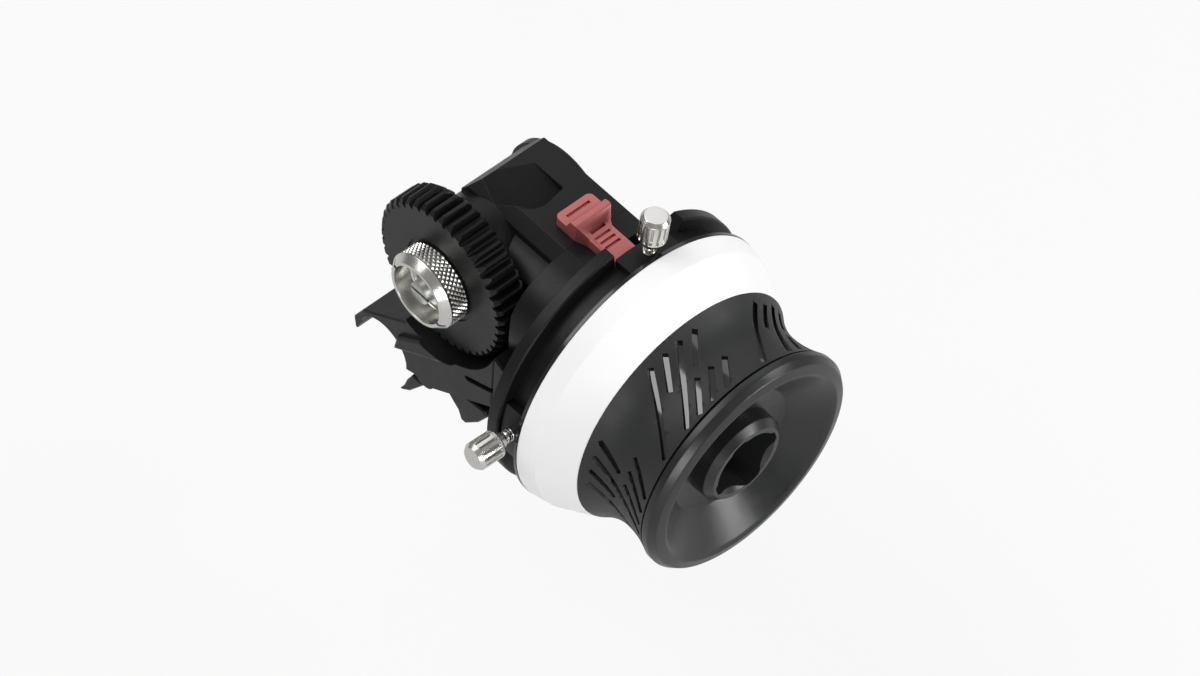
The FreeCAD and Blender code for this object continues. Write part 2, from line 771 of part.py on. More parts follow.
# ---------------------------------------------------------------- clamp jaw under the rod
def jaw():
    """The sprung lower jaw: a hook under the rod, a barrel on its pin and a thumb tail."""
    hook = extruded("jaw_hook", "XZ_Plane", [
        ("heel_x - jaw_step / 2", "heel_z - jaw_step"),
        ("heel_x - jaw_step", "heel_z - jaw_step * 2"),
        ("rod_radius * 0.95", "-rod_radius * 0.2"),
        ("jaw_tip_x - 1", "jaw_tip_z / 2"),
        ("jaw_tip_x", "jaw_tip_z"),
        ("jaw_tip_x + jaw_step", "jaw_tip_z"),
        ("jaw_back_x", "jaw_back_z"),
        ("pivot_x", "pivot_z - ear_radius"),
    ], "clamp_width")
    dressed(hook, "Chamfer", end_face_edge, "edge_break")
    barrel_length = "clamp_width - 2 * ear_width - 2 * jaw_gap"
    barrel = rod_like("jaw_barrel", "Y", "ear_radius", barrel_length, "pivot_x",
                      "-(%s) / 2" % barrel_length, "pivot_z")
    web = extruded("jaw_web", "XZ_Plane", [
        ("heel_x - jaw_step", "heel_z - jaw_step"),
        ("pivot_x - ear_radius * 0.7", "pivot_z + ear_radius * 0.6"),
        ("pivot_x + ear_radius * 0.6", "pivot_z - ear_radius * 0.7"),
        ("jaw_back_x + jaw_step", "jaw_back_z + jaw_step * 2"),
    ], barrel_length)
    tail_middle = "clamp_front + ear_width + jaw_gap + tail_width / 2"
    tail = extruded("jaw_tail", "XZ_Plane", [
        ("pivot_x - ear_radius * 0.2", "pivot_z - ear_radius * 0.8"),
        ("(pivot_x + tail_foot_x) / 2 + jaw_step", "pivot_z - ear_radius * 2.4"),
        ("tail_foot_x - jaw_step", "tail_foot_z / 2"),
        ("tail_foot_x", "tail_foot_z"),
        ("tail_foot_x + tail_foot_width", "tail_foot_z"),
        ("(tail_foot_x + tail_end_x) / 2 + jaw_step", "(tail_foot_z + tail_end_z) / 2 - jaw_step / 2"),
        ("tail_end_x", "tail_end_z"),
        ("tail_end_x - jaw_step", "tail_end_z + jaw_step"),
        ("tail_foot_x", "tail_end_z"),
        ("pivot_x + ear_radius * 0.8", "pivot_z - ear_radius * 0.1"),
    ], "tail_width", "-(%s)" % tail_middle)
    dressed(tail, "Fillet", end_face_edge, "tail_round")
    blank = fused("jaw_blank", [hook, barrel, web, tail])
    tools = [rod_like("jaw_rod_hole", "Y", "rod_bore", "clamp_width + 2", "0", "clamp_front - 1",
                      "0")]
    tools.append(rod_like("jaw_pin_bore", "Y", "jaw_pin_radius + running_gap", "clamp_width",
                          "pivot_x", "clamp_front", "pivot_z"))
    for end, start in (("front", "clamp_front - 1"), ("back", "clamp_back - ear_width - jaw_gap")):
        tools.append(rod_like("jaw_ear_room_" + end, "Y", "ear_radius + jaw_gap",
                              "ear_width + jaw_gap + 1", "pivot_x", start, "pivot_z"))
    spring_room = rod_like("jaw_spring_room", "Y", "ear_radius + 1", "jaw_spring_width + 2 * jaw_gap",
                           "pivot_x", "-jaw_spring_width / 2 - jaw_gap", "pivot_z")
    return cut("jaw_cut", blank, tools + [spring_room])


node(jaw(), "clamp_jaw")
node(rod_like("jaw_pin_rod", "Y", "jaw_pin_radius", "clamp_width - pin_cover - jaw_gap", "pivot_x",
              "clamp_front + pin_cover", "pivot_z"), "jaw_pin")
jaw_spring = place(revolved("jaw_spring_coil", [
    ("jaw_pin_radius + jaw_gap", "-jaw_spring_width / 2"),
    ("ear_radius - 2 * jaw_gap", "-jaw_spring_width / 2"),
    ("ear_radius - 2 * jaw_gap", "jaw_spring_width / 2"),
    ("jaw_pin_radius + jaw_gap", "jaw_spring_width / 2"),
]), "Y", "pivot_x", "0", "pivot_z")
node(jaw_spring, "jaw_spring")


# ---------------------------------------------------------------- collar, flange and stop track
def collar():
    """The casting between the gearbox and the wheel, with the flange that carries the stops."""
    arm = extruded("collar_arm", "XZ_Plane", [
        ("seam_x", belly("seam_x")),
        ("seam_x", "top_z"),
        ("collar_arm_end", "top_z"),
        ("flange_back_x + 1", "axis_height"),
        ("flange_back_x + 1", belly("(flange_back_x + 1)")),
    ], "arm_back - arm_front", "-arm_middle")
    dressed(arm, "Chamfer", near_top_edge, "arm_chamfer")
    foot = extruded("collar_foot", "XZ_Plane", [
        ("seam_x", belly("seam_x")),
        ("seam_x", "shoulder_z"),
        ("seam_x + foot_step", "shoulder_z - foot_step / 2"),
        ("flange_back_x - foot_step", "shoulder_z - foot_drop"),
        ("flange_rim_x", belly("flange_rim_x") + " + foot_step / 2"),
        ("flange_rim_x", belly("flange_rim_x")),
    ], "clamp_width")
    dressed(foot, "Chamfer", end_face_edge, "edge_break")
    turned = on_wheel_axis(revolved("flange_turned", [
        ("0", "seam_x"),
        ("collar_radius", "seam_x"),
        ("collar_radius", "flange_back_x - collar_flare"),
        ("collar_flare_radius", "flange_back_x"),
        ("flange_inner_radius", "flange_back_x"),
        ("flange_radius", "flange_rim_x"),
        ("flange_radius", "flange_face_x - edge_break"),
        ("flange_radius - edge_break", "flange_face_x"),
        ("0", "flange_face_x"),
    ]))
    notch = extruded("flange_notch", "XY_Plane", [
        polar("notch_radius", "notch_start"),
        polar("2 * flange_radius", "notch_start"),
        polar("2 * flange_radius", "notch_end"),
        polar("notch_radius", "notch_end"),
    ], "2 * collar_length")
    notch.Placement = Placement(Vector(), Rotation(Vector(1, 1, 1), 120))
    bind(notch, "Placement.Base.x", "flange_rim_x - flange_edge")
    bind(notch, "Placement.Base.z", "axis_height")
    tools = [
        notch,
        rod_like("collar_shaft_hole", "X", "bearing_radius - bearing_lip", "flange_face_x - seam_x + 2",
                 "seam_x - 1", "0", "axis_height"),
        rod_like("collar_bearing_bore", "X", "bearing_radius", "flange_face_x - outer_bearing_x + 1",
                 "outer_bearing_x", "0", "axis_height"),
        block("keeper", "bolt_front_x - seam_x + bolt_gap + 1", "bolt_width + 2 * bolt_gap",
              "bolt_height + bolt_gap + 1", "seam_x - 1", "bolt_y - bolt_gap",
              "top_z - bolt_height - bolt_gap"),
        gear_pocket("collar_gear_pocket"),
        block("latch_runway", "flange_back_x - collar_arm_end + 1",
              "tongue_far_y - tongue_near_y + 4 * bolt_gap", "collar_radius", "collar_arm_end - 1",
              "tongue_near_y - 2 * bolt_gap", "top_z"),
    ]
    tools += collar_screws("collar_screw_hole")
    return cut("collar_cut", fused("collar_blank", [arm, foot, turned]), tools)


node(collar(), "wheel_collar")
node(on_wheel_axis(revolved("track_turned", [
    ("track_radius - track_wall", "flange_face_x"),
    ("track_radius", "flange_face_x"),
    ("track_radius", "track_end_x"),
    ("track_radius - track_wall", "track_end_x"),
])), "stop_track")


# ---------------------------------------------------------------- hard stops
def stop_screw_hole(name, angle):
    hole = rod_like(name, "Y", "stop_stem_radius + thread_gap", "stop_head_end", "stop_screw_x",
                    "0", "axis_height")
    hole.Placement.Rotation = Rotation(Vector(1, 0, 0), angle).multiply(TURNS["Y"])
    return hole


def stop_slider(letter):
    """One arc-shaped slider that rides on the track."""
    angle = size("stop_%s_angle" % letter)
    arc = revolved("slider_%s_arc" % letter, [
        ("slider_inner", "flange_face_x + slider_gap * 2"),
        ("slider_outer", "flange_face_x + slider_gap * 2"),
        ("slider_outer", "track_end_x"),
        ("slider_inner", "track_end_x"),
    ], "slider_span")
    on_wheel_axis(arc, about_x=angle + 90)
    return cut("slider_%s_cut" % letter, arc, [stop_screw_hole("slider_%s_hole" % letter, angle)])


def stop_thumbscrew(letter):
    """A fluted thumbscrew whose tip reaches the track."""
    name = "thumbscrew_" + letter
    body = revolved(name, [
        ("0", "track_radius + stop_tip_gap"),
        ("stop_stem_radius", "track_radius + stop_tip_gap"),
        ("stop_stem_radius", "stop_head_start - stop_collar_length"),
        ("stop_collar_radius", "stop_head_start - stop_collar_length"),
        ("stop_collar_radius", "stop_head_start"),
        ("stop_head_radius - stop_head_edge", "stop_head_start"),
        ("stop_head_radius", "stop_head_start + stop_head_edge"),
        ("stop_head_radius", "stop_head_end - stop_cap"),
        ("stop_head_radius - stop_cap", "stop_head_end"),
        ("0", "stop_head_end"),
    ])
    sketch = sketch_on(body, "XY_Plane", name + "_flute", "stop_head_start + stop_flute_margin")
    root = "stop_head_radius - stop_flute_depth"
    draw_polygon(sketch, [
        (root, "-stop_flute_width / 4"),
        ("stop_head_radius + 1", "-stop_flute_width / 2"),
        ("stop_head_radius + 1", "stop_flute_width / 2"),
        (root, "stop_flute_width / 4"),
    ])
    flute = body.newObject("PartDesign::Pocket", name + "_flute_cut")
    flute.Profile = sketch
    flute.Reversed = True
    bind(flute, "Length", "stop_head_length - stop_cap - 2 * stop_flute_margin + stop_head_edge")
    pattern = body.newObject("PartDesign::PolarPattern", name + "_flutes")
    pattern.Originals = [flute]
    pattern.Axis = (sketch, ["N_Axis"])
    pattern.Angle = 360
    bind(pattern, "Occurrences", "stop_flutes")
    body.Tip = pattern
    angle = size("stop_%s_angle" % letter)
    return place(body, "Y", "stop_screw_x", "0", "axis_height", about_x=angle)


for stop in ("a", "b"):
    node(stop_slider(stop), "stop_%s_slider" % stop)
    node(stop_thumbscrew(stop), "stop_%s_thumbscrew" % stop)


# ---------------------------------------------------------------- gear shaft, drive gear and nut
def gear_shaft():
    """The cross shaft: a threaded stud, a seat with two flats, a shoulder and a bearing length."""
    body = revolved("gear_shaft_turned", [
        ("0", "gear_front - stud_length"),
        ("stud_radius - edge_break", "gear_front - stud_length"),
        ("stud_radius", "gear_front - stud_length + edge_break"),
        ("stud_radius", "seat_front"),
        ("seat_radius", "seat_front"),
        ("seat_radius", "gear_back"),
        ("shoulder_radius", "gear_back"),
        ("shoulder_radius", "housing_front - bearing_end_gap"),
        ("shaft_radius", "housing_front - bearing_end_gap"),
        ("shaft_radius", "housing_front + chamber_wall"),
        ("pinion_radius", "housing_front + chamber_wall"),
        ("pinion_radius", "rear_boss_face - edge_break"),
        ("0", "rear_boss_face - edge_break"),
    ])
    on_gear_axis(body)
    seat = "seat_radius - seat_flat + 1"
    tools = []
    for side, start in (("left", "gear_offset - seat_flat - (%s)" % seat),
                        ("right", "gear_offset + seat_flat")):
        tools.append(block("shaft_flat_" + side, seat, "gear_width", "2 * seat_radius", start,
                           "gear_front", "axis_height - seat_radius"))
    tools.append(block("driver_cut", "4 * stud_radius", "driver_depth", "driver_slot",
                       "gear_offset - 2 * stud_radius", "gear_front - stud_length",
                       "axis_height - driver_slot / 2"))
    return cut("gear_shaft_cut", body, tools)


def drive_gear():
    """A spur gear with a seat for the nut, chamfered teeth and a bore that fits the shaft's flats."""
    body = revolved("gear_blank", [
        ("0", "gear_face_recess"),
        ("nut_radius + nut_seat_gap", "gear_face_recess"),
        ("nut_radius + nut_seat_gap", "0"),
        ("gear_root", "0"),
        ("gear_root", "gear_width"),
        ("0", "gear_width"),
    ])
    sketch = sketch_on(body, "XY_Plane", "tooth_outline")
    half = "gear_module * pi / 4"
    slope = "tan(pressure_angle)"
    pitch = "(%s)" % half
    foot = "(%s + 1.25 * gear_module * %s)" % (half, slope)
    shoulder = "(%s - (1 - tooth_tip_round) * gear_module * %s)" % (half, slope)
    tip = "(%s - (1 + tooth_tip_round) * gear_module * %s)" % (half, slope)
    root = "gear_root - edge_break"
    middle = "gear_module * gear_teeth / 2"
    outer = "gear_tip - tooth_tip_round * gear_module"
    draw_polygon(sketch, [
        (root, "-" + foot), (middle, "-" + pitch), (outer, "-" + shoulder), ("gear_tip", "-" + tip),
        ("gear_tip", tip), (outer, shoulder), (middle, pitch), (root, foot),
    ])
    tooth = body.newObject("PartDesign::Pad", "tooth")
    tooth.Profile = sketch
    bind(tooth, "Length", "gear_width")
    chamfers = []
    for end, face, inward in (("front", "0", "1"), ("back", "gear_width", "-1")):
        corner = sketch_on(body, "XZ_Plane", "tooth_corner_" + end)
        draw_polygon(corner, [
            ("gear_tip - tooth_chamfer", face),
            ("gear_tip + tooth_chamfer", face),
            ("gear_tip + tooth_chamfer", "%s + %s * 2 * tooth_chamfer" % (face, inward)),
        ])
        chamfer = body.newObject("PartDesign::Pocket", "tooth_chamfer_" + end)
        chamfer.Profile = corner
        chamfer.Midplane = True
        bind(chamfer, "Length", "gear_module * pi * 3 / 4")
        chamfers.append(chamfer)
    ring = body.newObject("PartDesign::PolarPattern", "teeth")
    ring.Originals = [tooth] + chamfers
    ring.Axis = (sketch, ["N_Axis"])
    ring.Angle = 360
    bind(ring, "Occurrences", "gear_teeth")
    body.Tip = ring
    on_gear_axis(body)
    bind(body, "Placement.Base.y", "gear_front")
    bore = rod_like("gear_bore", "Y", "seat_radius + running_gap", "gear_width + 2", "gear_offset",
                    "gear_front - 1", "axis_height")
    between = block("gear_bore_flats", "2 * (seat_flat + running_gap)", "gear_width + 2",
                    "4 * seat_radius", "gear_offset - seat_flat - running_gap", "gear_front - 1",
                    "axis_height - 2 * seat_radius")
    return cut("drive_gear_cut", body, [common("gear_seat", bore, between)])


def knurled_nut():
    """The thumb nut: a deep cup with a chamfered lip, two coin notches and a tapped floor."""
    nut_back = "nut_front + nut_length"
    bore = "stud_radius + thread_gap"
    body = on_gear_axis(revolved("nut_turned", [
        (bore, nut_back),
        ("nut_radius - nut_back_chamfer", nut_back),
        ("nut_radius", nut_back + " - nut_back_chamfer"),
        ("nut_radius", "nut_front + nut_lip"),
        ("nut_cup_radius + edge_break * 2", "nut_front"),
        ("nut_cup_radius", "nut_front"),
        ("nut_cup_radius - nut_cup_taper", nut_back + " - nut_base"),
        (bore, nut_back + " - nut_base"),
    ]))
    sides = ("4 * nut_radius", "2 * nut_notch_depth", "nut_notch")
    notch = block("coin_notch", *sides, "0", "0", "0")
    turn = Rotation(Vector(0, 1, 0), size("nut_notch_angle"))
    centred(notch, sides, turn, ("gear_offset", "nut_front", "axis_height"))
    return cut("nut_cut", body, [notch])


node(gear_shaft(), "gear_shaft")
node(drive_gear(), "drive_gear")
node(knurled_nut(), "gear_nut")


# ---------------------------------------------------------------- bevel pair, bearings and bush
def bevel_gear(name):
    """A mitre gear: root cone and hub by one outline, teeth lofted towards the apex."""
    small = "(bevel_pitch - bevel_face)"
    root_slope = "(1 - bevel_dedendum / bevel_pitch)"
    body = revolved(name, [
        ("pinion_radius", small),
        ("%s * %s" % (small, root_slope), small),
        ("bevel_pitch * %s" % root_slope, "bevel_pitch"),
        ("bevel_pitch * %s" % root_slope, "bevel_pitch + bevel_hub"),
        ("pinion_radius", "bevel_pitch + bevel_hub"),
    ])
    sections = []
    for end, height in (("small", small), ("big", "bevel_pitch")):
        sketch = sketch_on(body, "XY_Plane", "%s_%s_end" % (name, end), height)
        ratio = "(%s / bevel_pitch)" % height
        half = "(pi * bevel_pitch / bevel_teeth / 2 - bevel_backlash / 2)"
        tip = "((%s - bevel_addendum * tan(pressure_angle)) * %s)" % (half, ratio)
        foot = "((%s + bevel_dedendum * tan(pressure_angle)) * %s)" % (half, ratio)
        top = "(bevel_pitch + bevel_addendum) * %s" % ratio
        bottom = "(bevel_pitch - bevel_dedendum - bevel_backlash) * %s" % ratio
        draw_polygon(sketch, [(bottom, "-" + foot), (top, "-" + tip), (top, tip), (bottom, foot)])
        sections.append(sketch)
    tooth = body.newObject("PartDesign::AdditiveLoft", name + "_tooth")
    tooth.Profile = sections[0]
    tooth.Sections = [sections[1]]
    tooth.Ruled = True
    ring = body.newObject("PartDesign::PolarPattern", name + "_teeth")
    ring.Originals = [tooth]
    ring.Axis = (sections[1], ["N_Axis"])
    ring.Angle = 360
    bind(ring, "Occurrences", "bevel_teeth")
    body.Tip = ring
    return body


# Half a pitch of turn on one of the pair puts its teeth in the other's gaps.
half_pitch = 180 / size("bevel_teeth")
input_bevel = place(bevel_gear("input_bevel"), "X", "gear_offset", "0", "axis_height", half_pitch)
node(input_bevel, "wheel_bevel_gear")
node(place(bevel_gear("output_bevel"), "Y", "gear_offset", "0", "axis_height"), "shaft_bevel_gear")


def bearing(name, bore, start):
    """A shielded bearing: one ring with a shallow groove between its races, on the outer face."""
    inner = bore + " + running_gap"
    low = bore + " + bearing_lip"
    high = "bearing_radius - bearing_lip"
    end = start + " + bearing_width"
    return revolved(name, [
        (inner, start), ("bearing_radius", start), ("bearing_radius", end), (high, end),
        (high, end + " - bearing_groove"), (low, end + " - bearing_groove"), (low, end), (inner, end),
    ])


node(on_gear_axis(bearing("gear_bearing_a", "pinion_radius", "inner_bearing_y")), "gear_bearing_inner")
node(on_gear_axis(bearing("gear_bearing_b", "pinion_radius", "outer_bearing_y")), "gear_bearing_outer")
node(on_wheel_axis(bearing("wheel_bearing_a", "shaft_radius", "inner_bearing_x")),
     "wheel_bearing_inner")
node(on_wheel_axis(bearing("wheel_bearing_b", "shaft_radius", "outer_bearing_x")),
     "wheel_bearing_outer")
node(on_gear_axis(revolved("bush_turned", [
    ("shaft_radius + running_gap", "housing_front"),
    ("bush_radius", "housing_front"),
    ("bush_radius", "housing_front + chamber_wall"),
    ("shaft_radius + running_gap", "housing_front + chamber_wall"),
])), "gear_shaft_bush")
cap = on_gear_axis(revolved("cap_turned", [
    ("cap_hole", "rear_boss_face - cap_thickness"),
    ("cap_radius - cap_fit", "rear_boss_face - cap_thickness"),
    ("cap_radius - cap_fit", "rear_boss_face"),
    ("cap_hole", "rear_boss_face"),
]))
node(cut("cap_drilled", cap, cap_screws("cap_hole_drill")), "rear_cap")


# ---------------------------------------------------------------- hand wheel
def wheel_core():
    """Back plate, web, drum and hub of the hand wheel, turned in one."""
    body = on_wheel_axis(revolved("core_turned", [
        ("shaft_radius", "hub_nose"),
        ("hub_nose_radius", "hub_nose"),
        ("hub_nose_radius", "wheel_back"),
        ("disc_back_radius", "wheel_back"),
        ("disc_back_radius", "disc_back"),
        ("drum_radius", "disc_back"),
        ("drum_radius", "dial_back"),
        ("drum_radius - drum_wall", "dial_back"),
        ("drum_radius - drum_wall", "disc_back + web_thickness"),
        ("hub_radius", "disc_back + web_thickness"),
        ("hub_radius", "hub_face"),
        ("shaft_radius", "hub_face"),
    ]))
    return cut("core_cut", body, [stop_pin("stop_pin_hole")])


def stop_pin(name):
    """The steel pin in the back plate that meets the two hard stops."""
    return rod_like(name, "X", "stop_pin_radius", "disc_back - flange_face_x - stop_pin_gap",
                    "flange_face_x + stop_pin_gap", "stop_pin_circle * cos(stop_pin_angle)",
                    "axis_height + stop_pin_circle * sin(stop_pin_angle)")


def marking_disc():
    return on_wheel_axis(revolved("disc_turned", [
        ("drum_radius", "disc_back"),
        ("disc_back_radius - edge_break", "disc_back"),
        ("disc_back_radius", "disc_back + edge_break"),
        ("disc_crease_radius", "disc_back + disc_band"),
        ("disc_front_radius", "sleeve_back"),
        ("drum_radius", "sleeve_back"),
    ]))


def grip_sleeve():
    """The rubber sleeve: a turned blank whose waist is taken out by a large torus."""
    blank = on_wheel_axis(revolved("sleeve_turned", [
        ("drum_radius", "sleeve_back"),
        ("disc_front_radius", "sleeve_back"),
        ("sleeve_front_radius + dial_groove", "dial_back - 2 * dial_groove"),
        ("sleeve_front_radius", "dial_back"),
        ("drum_radius", "dial_back"),
    ]))
    waist = doc.addObject("Part::Torus", "waist")
    bind(waist, "Radius1", "waist_radius + waist_bow")
    bind(waist, "Radius2", "waist_bow")
    place(waist, "X", "waist_x", "0", "axis_height")
    return cut("sleeve_cut", blank, [waist] + sleeve_slots())


# The slots of one group, from its first line to its last: l runs the sleeve's whole length, b lies
# in its back half and f in its front half.
SLOT_LINES = ("l", "b", "l", "bf", "f", "f")


def sleeve_slots():
    """Slanted slots through the sleeve, in like groups with plain rubber between them."""
    half = "(sleeve_length - slot_land) / 2"
    spans = {
        "l": ("slot_back_end", "sleeve_length - slot_front_end"),
        "b": ("slot_back_end", half),
        "f": (half + " + slot_land", "sleeve_length - slot_front_end"),
    }
    low = "(drum_radius - sleeve_slot_width * 2)"
    height = "(disc_front_radius - %s)" % low
    slant = math.degrees(math.atan(size("waist_radius") * math.radians(size("slot_twist"))))
    slots = []
    for group in range(int(size("slot_groups"))):
        for line, halves in enumerate(SLOT_LINES):
            for kind in halves:
                start, end = spans[kind]
                middle = "((%s + %s) / 2)" % (start, end)
                run = "((%s - (%s)) / %.6f)" % (end, start, math.cos(math.radians(slant)))
                angle = "(slot_start + %d * slot_group_step - %d * slot_pitch + slot_twist * %s)" % (
                    group, line, middle)
                sides = (run, height, "sleeve_slot_width")
                slot = block("sleeve_slot_%d_%d%s" % (group, line, kind), *sides, "0", "0", "0")
                turn = Rotation(Vector(1, 0, 0), number(angle))
                turn = turn.multiply(Rotation(Vector(0, 1, 0), -slant))
                y_place, z_place = polar("(%s + disc_front_radius) / 2" % low, angle)
                slots.append(centred(slot, sides, turn, ("sleeve_back + " + middle, y_place,
                                                         "axis_height + " + z_place)))
    return slots


def front_dial():
    """The front ring: outer rim, bevel and the dished face that runs down to the hub boss."""
    return on_wheel_axis(revolved("dial_turned", [
        ("boss_radius", "hub_face"),
        ("drum_radius - drum_wall", "hub_face"),
        ("drum_radius - drum_wall", "dial_back"),
        ("sleeve_front_radius - 2 * dial_groove", "dial_back"),
        ("sleeve_front_radius - 2 * dial_groove", "dial_back + dial_groove"),
        ("dial_rim_radius", "dial_back + dial_groove"),
        ("dial_rim_radius", "dial_bevel_start"),
        ("dial_bevel_radius", "dial_bevel_start + dial_bevel"),
        ("dish_radius", "wheel_front"),
        ("dish_radius - dish_lip / 2", "wheel_front - dish_lip / 2"),
        ("dish_step_radius", "wheel_front - dish_depth"),
        ("dish_step_radius - dish_step", "wheel_front - dish_depth - dish_step"),
        ("boss_radius", "wheel_front - dish_depth - dish_step"),
    ]))


def socket_boss():
    """The hub boss: a square socket with clipped corners and a coned mouth for a crank or a whip."""
    body = on_wheel_axis(revolved("boss_turned", [
        ("0", "hub_face"),
        ("boss_radius", "hub_face"),
        ("boss_radius", "boss_face - boss_bevel"),
        ("boss_face_radius", "boss_face"),
        ("0", "boss_face"),
    ]))
    square = block("socket_square", "socket_depth + 1", "socket_width", "socket_width", "0", "0", "0")
    turn = Rotation(Vector(1, 0, 0), size("socket_turn"))
    centred(square, ("0", "socket_width", "socket_width"), turn, ("socket_floor", "0", "axis_height"))
    round_limit = rod_like("socket_round", "X", "socket_reach", "socket_depth + 1", "socket_floor", "0",
                           "axis_height")
    mouth = on_wheel_axis(revolved("socket_mouth", [
        ("0", "boss_face - socket_bevel"),
        ("socket_mouth - socket_bevel", "boss_face - socket_bevel"),
        ("socket_mouth + 1", "boss_face + 1"),
        ("0", "boss_face + 1"),
    ]))
    screw_hole = rod_like("hub_screw_hole", "X", "hub_screw_radius", "hub_screw_length",
                          "socket_floor - hub_screw_length", "0", "axis_height")
    return cut("boss_cut", body, [common("socket", square, round_limit), mouth, screw_hole])


def wheel_shaft():
    body = on_wheel_axis(revolved("wheel_shaft_turned", [
        ("0", "gear_offset + bevel_pitch - bevel_face"),
        ("pinion_radius", "gear_offset + bevel_pitch - bevel_face"),
        ("pinion_radius", "gear_offset + bevel_pitch + bevel_hub"),
        ("shaft_radius", "gear_offset + bevel_pitch + bevel_hub"),
        ("shaft_radius", "hub_face"),
        ("0", "hub_face"),
    ]))
    hole = rod_like("wheel_shaft_tap", "X", "hub_screw_radius", "hub_screw_length",
                    "socket_floor - hub_screw_length", "0", "axis_height")
    return cut("wheel_shaft_cut", body, [hole])


def hub_screw():
    """The screw in the socket's floor that pulls the boss onto the shaft."""
    shank = rod_like("hub_screw_shank", "X", "hub_screw_radius", "hub_screw_length",
                     "socket_floor - hub_screw_length", "0", "axis_height")
    head = rod_like("hub_screw_head", "X", "hub_screw_head", "hub_screw_head_length", "socket_floor",
                    "0", "axis_height")
    return fused("hub_screw_whole", [shank, head])


node(wheel_core(), "wheel_core")
node(stop_pin("stop_pin"), "wheel_stop_pin")
node(marking_disc(), "marking_disc")
node(grip_sleeve(), "grip_sleeve")
node(front_dial(), "front_dial")
node(socket_boss(), "socket_boss")
node(wheel_shaft(), "wheel_shaft")
node(hub_screw(), "hub_screw")


# ---------------------------------------------------------------- latch on the arm
def latch():
    """The slide: its plan outline and its side outline, each pushed through the other."""
    plan = extruded("latch_plan", "XY_Plane", [
        ("latch_back_x", "latch_near_y"),
        ("latch_head_end", "latch_near_y"),
        ("latch_head_end + tongue_flare", "tongue_near_y"),
        ("latch_front_x", "tongue_near_y"),
        ("latch_front_x", "tongue_far_y"),
        ("latch_head_end + tongue_flare", "tongue_far_y"),
        ("latch_head_end", "latch_far_y"),
        ("latch_back_x", "latch_far_y"),
    ], "4 * latch_hump", "top_z")
    dressed(plan, "Fillet", upright_at(lambda box: [box.XMin, box.XMax]), "latch_round")
    head = size("latch_head_length")
    neck = head + size("tongue_flare")
    dressed(plan, "Fillet", upright_at(lambda box: [box.XMin + head]), "latch_round")
    dressed(plan, "Fillet", upright_at(lambda box: [box.XMin + neck]), "latch_fillet")
    side = extruded("latch_side", "XZ_Plane", [
        ("latch_back_x - 1", "latch_base"),
        ("latch_back_x - 1", "latch_top"),
        ("latch_back_x + latch_rest_length", "latch_top"),
        ("latch_back_x + latch_rest_length + hump_rise_length", "hump_top"),
        ("latch_head_end", "hump_top"),
        ("latch_head_end + hump_fall_length", "latch_top"),
        ("latch_front_x + 1", "latch_top"),
        ("latch_front_x + 1", "latch_base"),
    ], "4 * latch_far_y")
    dressed(side, "Fillet", lambda edge, box: edge.YLength > 1 and abs(edge.ZMin - box.ZMax) < NEAR,
            "hump_round")
    tools = [latch_slot("latch_slot_back", "latch_back_x + back_slot_start",
                        "(latch_near_y + latch_far_y - back_slot_length) / 2", "back_slot_length")]
    for index in range(int(size("grip_slots"))):
        tools.append(latch_slot("latch_slot_%d" % index,
                                "latch_head_end + %d * grip_slot_step + grip_slot_step * 1.2" % index,
                                "(tongue_near_y + tongue_far_y - grip_slot_length) / 2",
                                "grip_slot_length"))
    return cut("latch_cut", common("latch_solid", plan, side), tools)


def latch_slot(name, x_place, y_place, length):
    return block(name, "grip_slot", length, "latch_hump", x_place, y_place,
                 "latch_top - grip_slot_depth")


node(latch(), "latch_slide")
node(block("bolt_block", "bolt_front_x - bolt_back_x", "bolt_width", "bolt_height + latch_gap",
           "bolt_back_x", "bolt_y", "top_z - bolt_height"), "latch_bolt")
spring = revolved("spring_turned", [
    ("spring_radius - spring_wire * 2", "0"), ("spring_radius", "0"),
    ("spring_radius", "spring_reach"), ("spring_radius - spring_wire * 2", "spring_reach"),
])
node(place(spring, "X", "spring_x", "bolt_y + bolt_width / 2", "top_z - bolt_height / 2"),
     "latch_spring")

# ---------------------------------------------------------------- write the sub-parts
doc.recompute()
for thing in doc.Objects:
    if "Invalid" in thing.State or "Error" in thing.State:
        raise RuntimeError("%s did not build: %s" % (thing.Name, thing.State))
os.makedirs("parts", exist_ok=True)
for thing in nodes:
    if thing.Shape.isNull() or not thing.Shape.isValid():
        raise RuntimeError("%s has no valid shape" % thing.Label)
    thing.Shape.exportStep("parts/%s.step" % thing.Label)
    print("%-22s %2d solid(s) %10.1f mm3" % (thing.Label, len(thing.Shape.Solids), thing.Shape.Volume))
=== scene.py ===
# %% [markdown]
# # A follow focus unit, dressed around its CAD model
# A follow focus turns the focus ring of a lens.  The hand wheel drives a small plastic gear through
# a gearbox, and the gearbox snaps onto a 15 mm rod.  The CAD model already has every piece at its
# real size.  This file gives the pieces their finishes and adds what is too fine for the CAD model:
# the knurl, the flutes, the threads, the coils, the soft edges and the sockets of the screws.

# %% load the CAD model
import bpy
import bmesh
import json
import math
from mathutils import Matrix, Vector


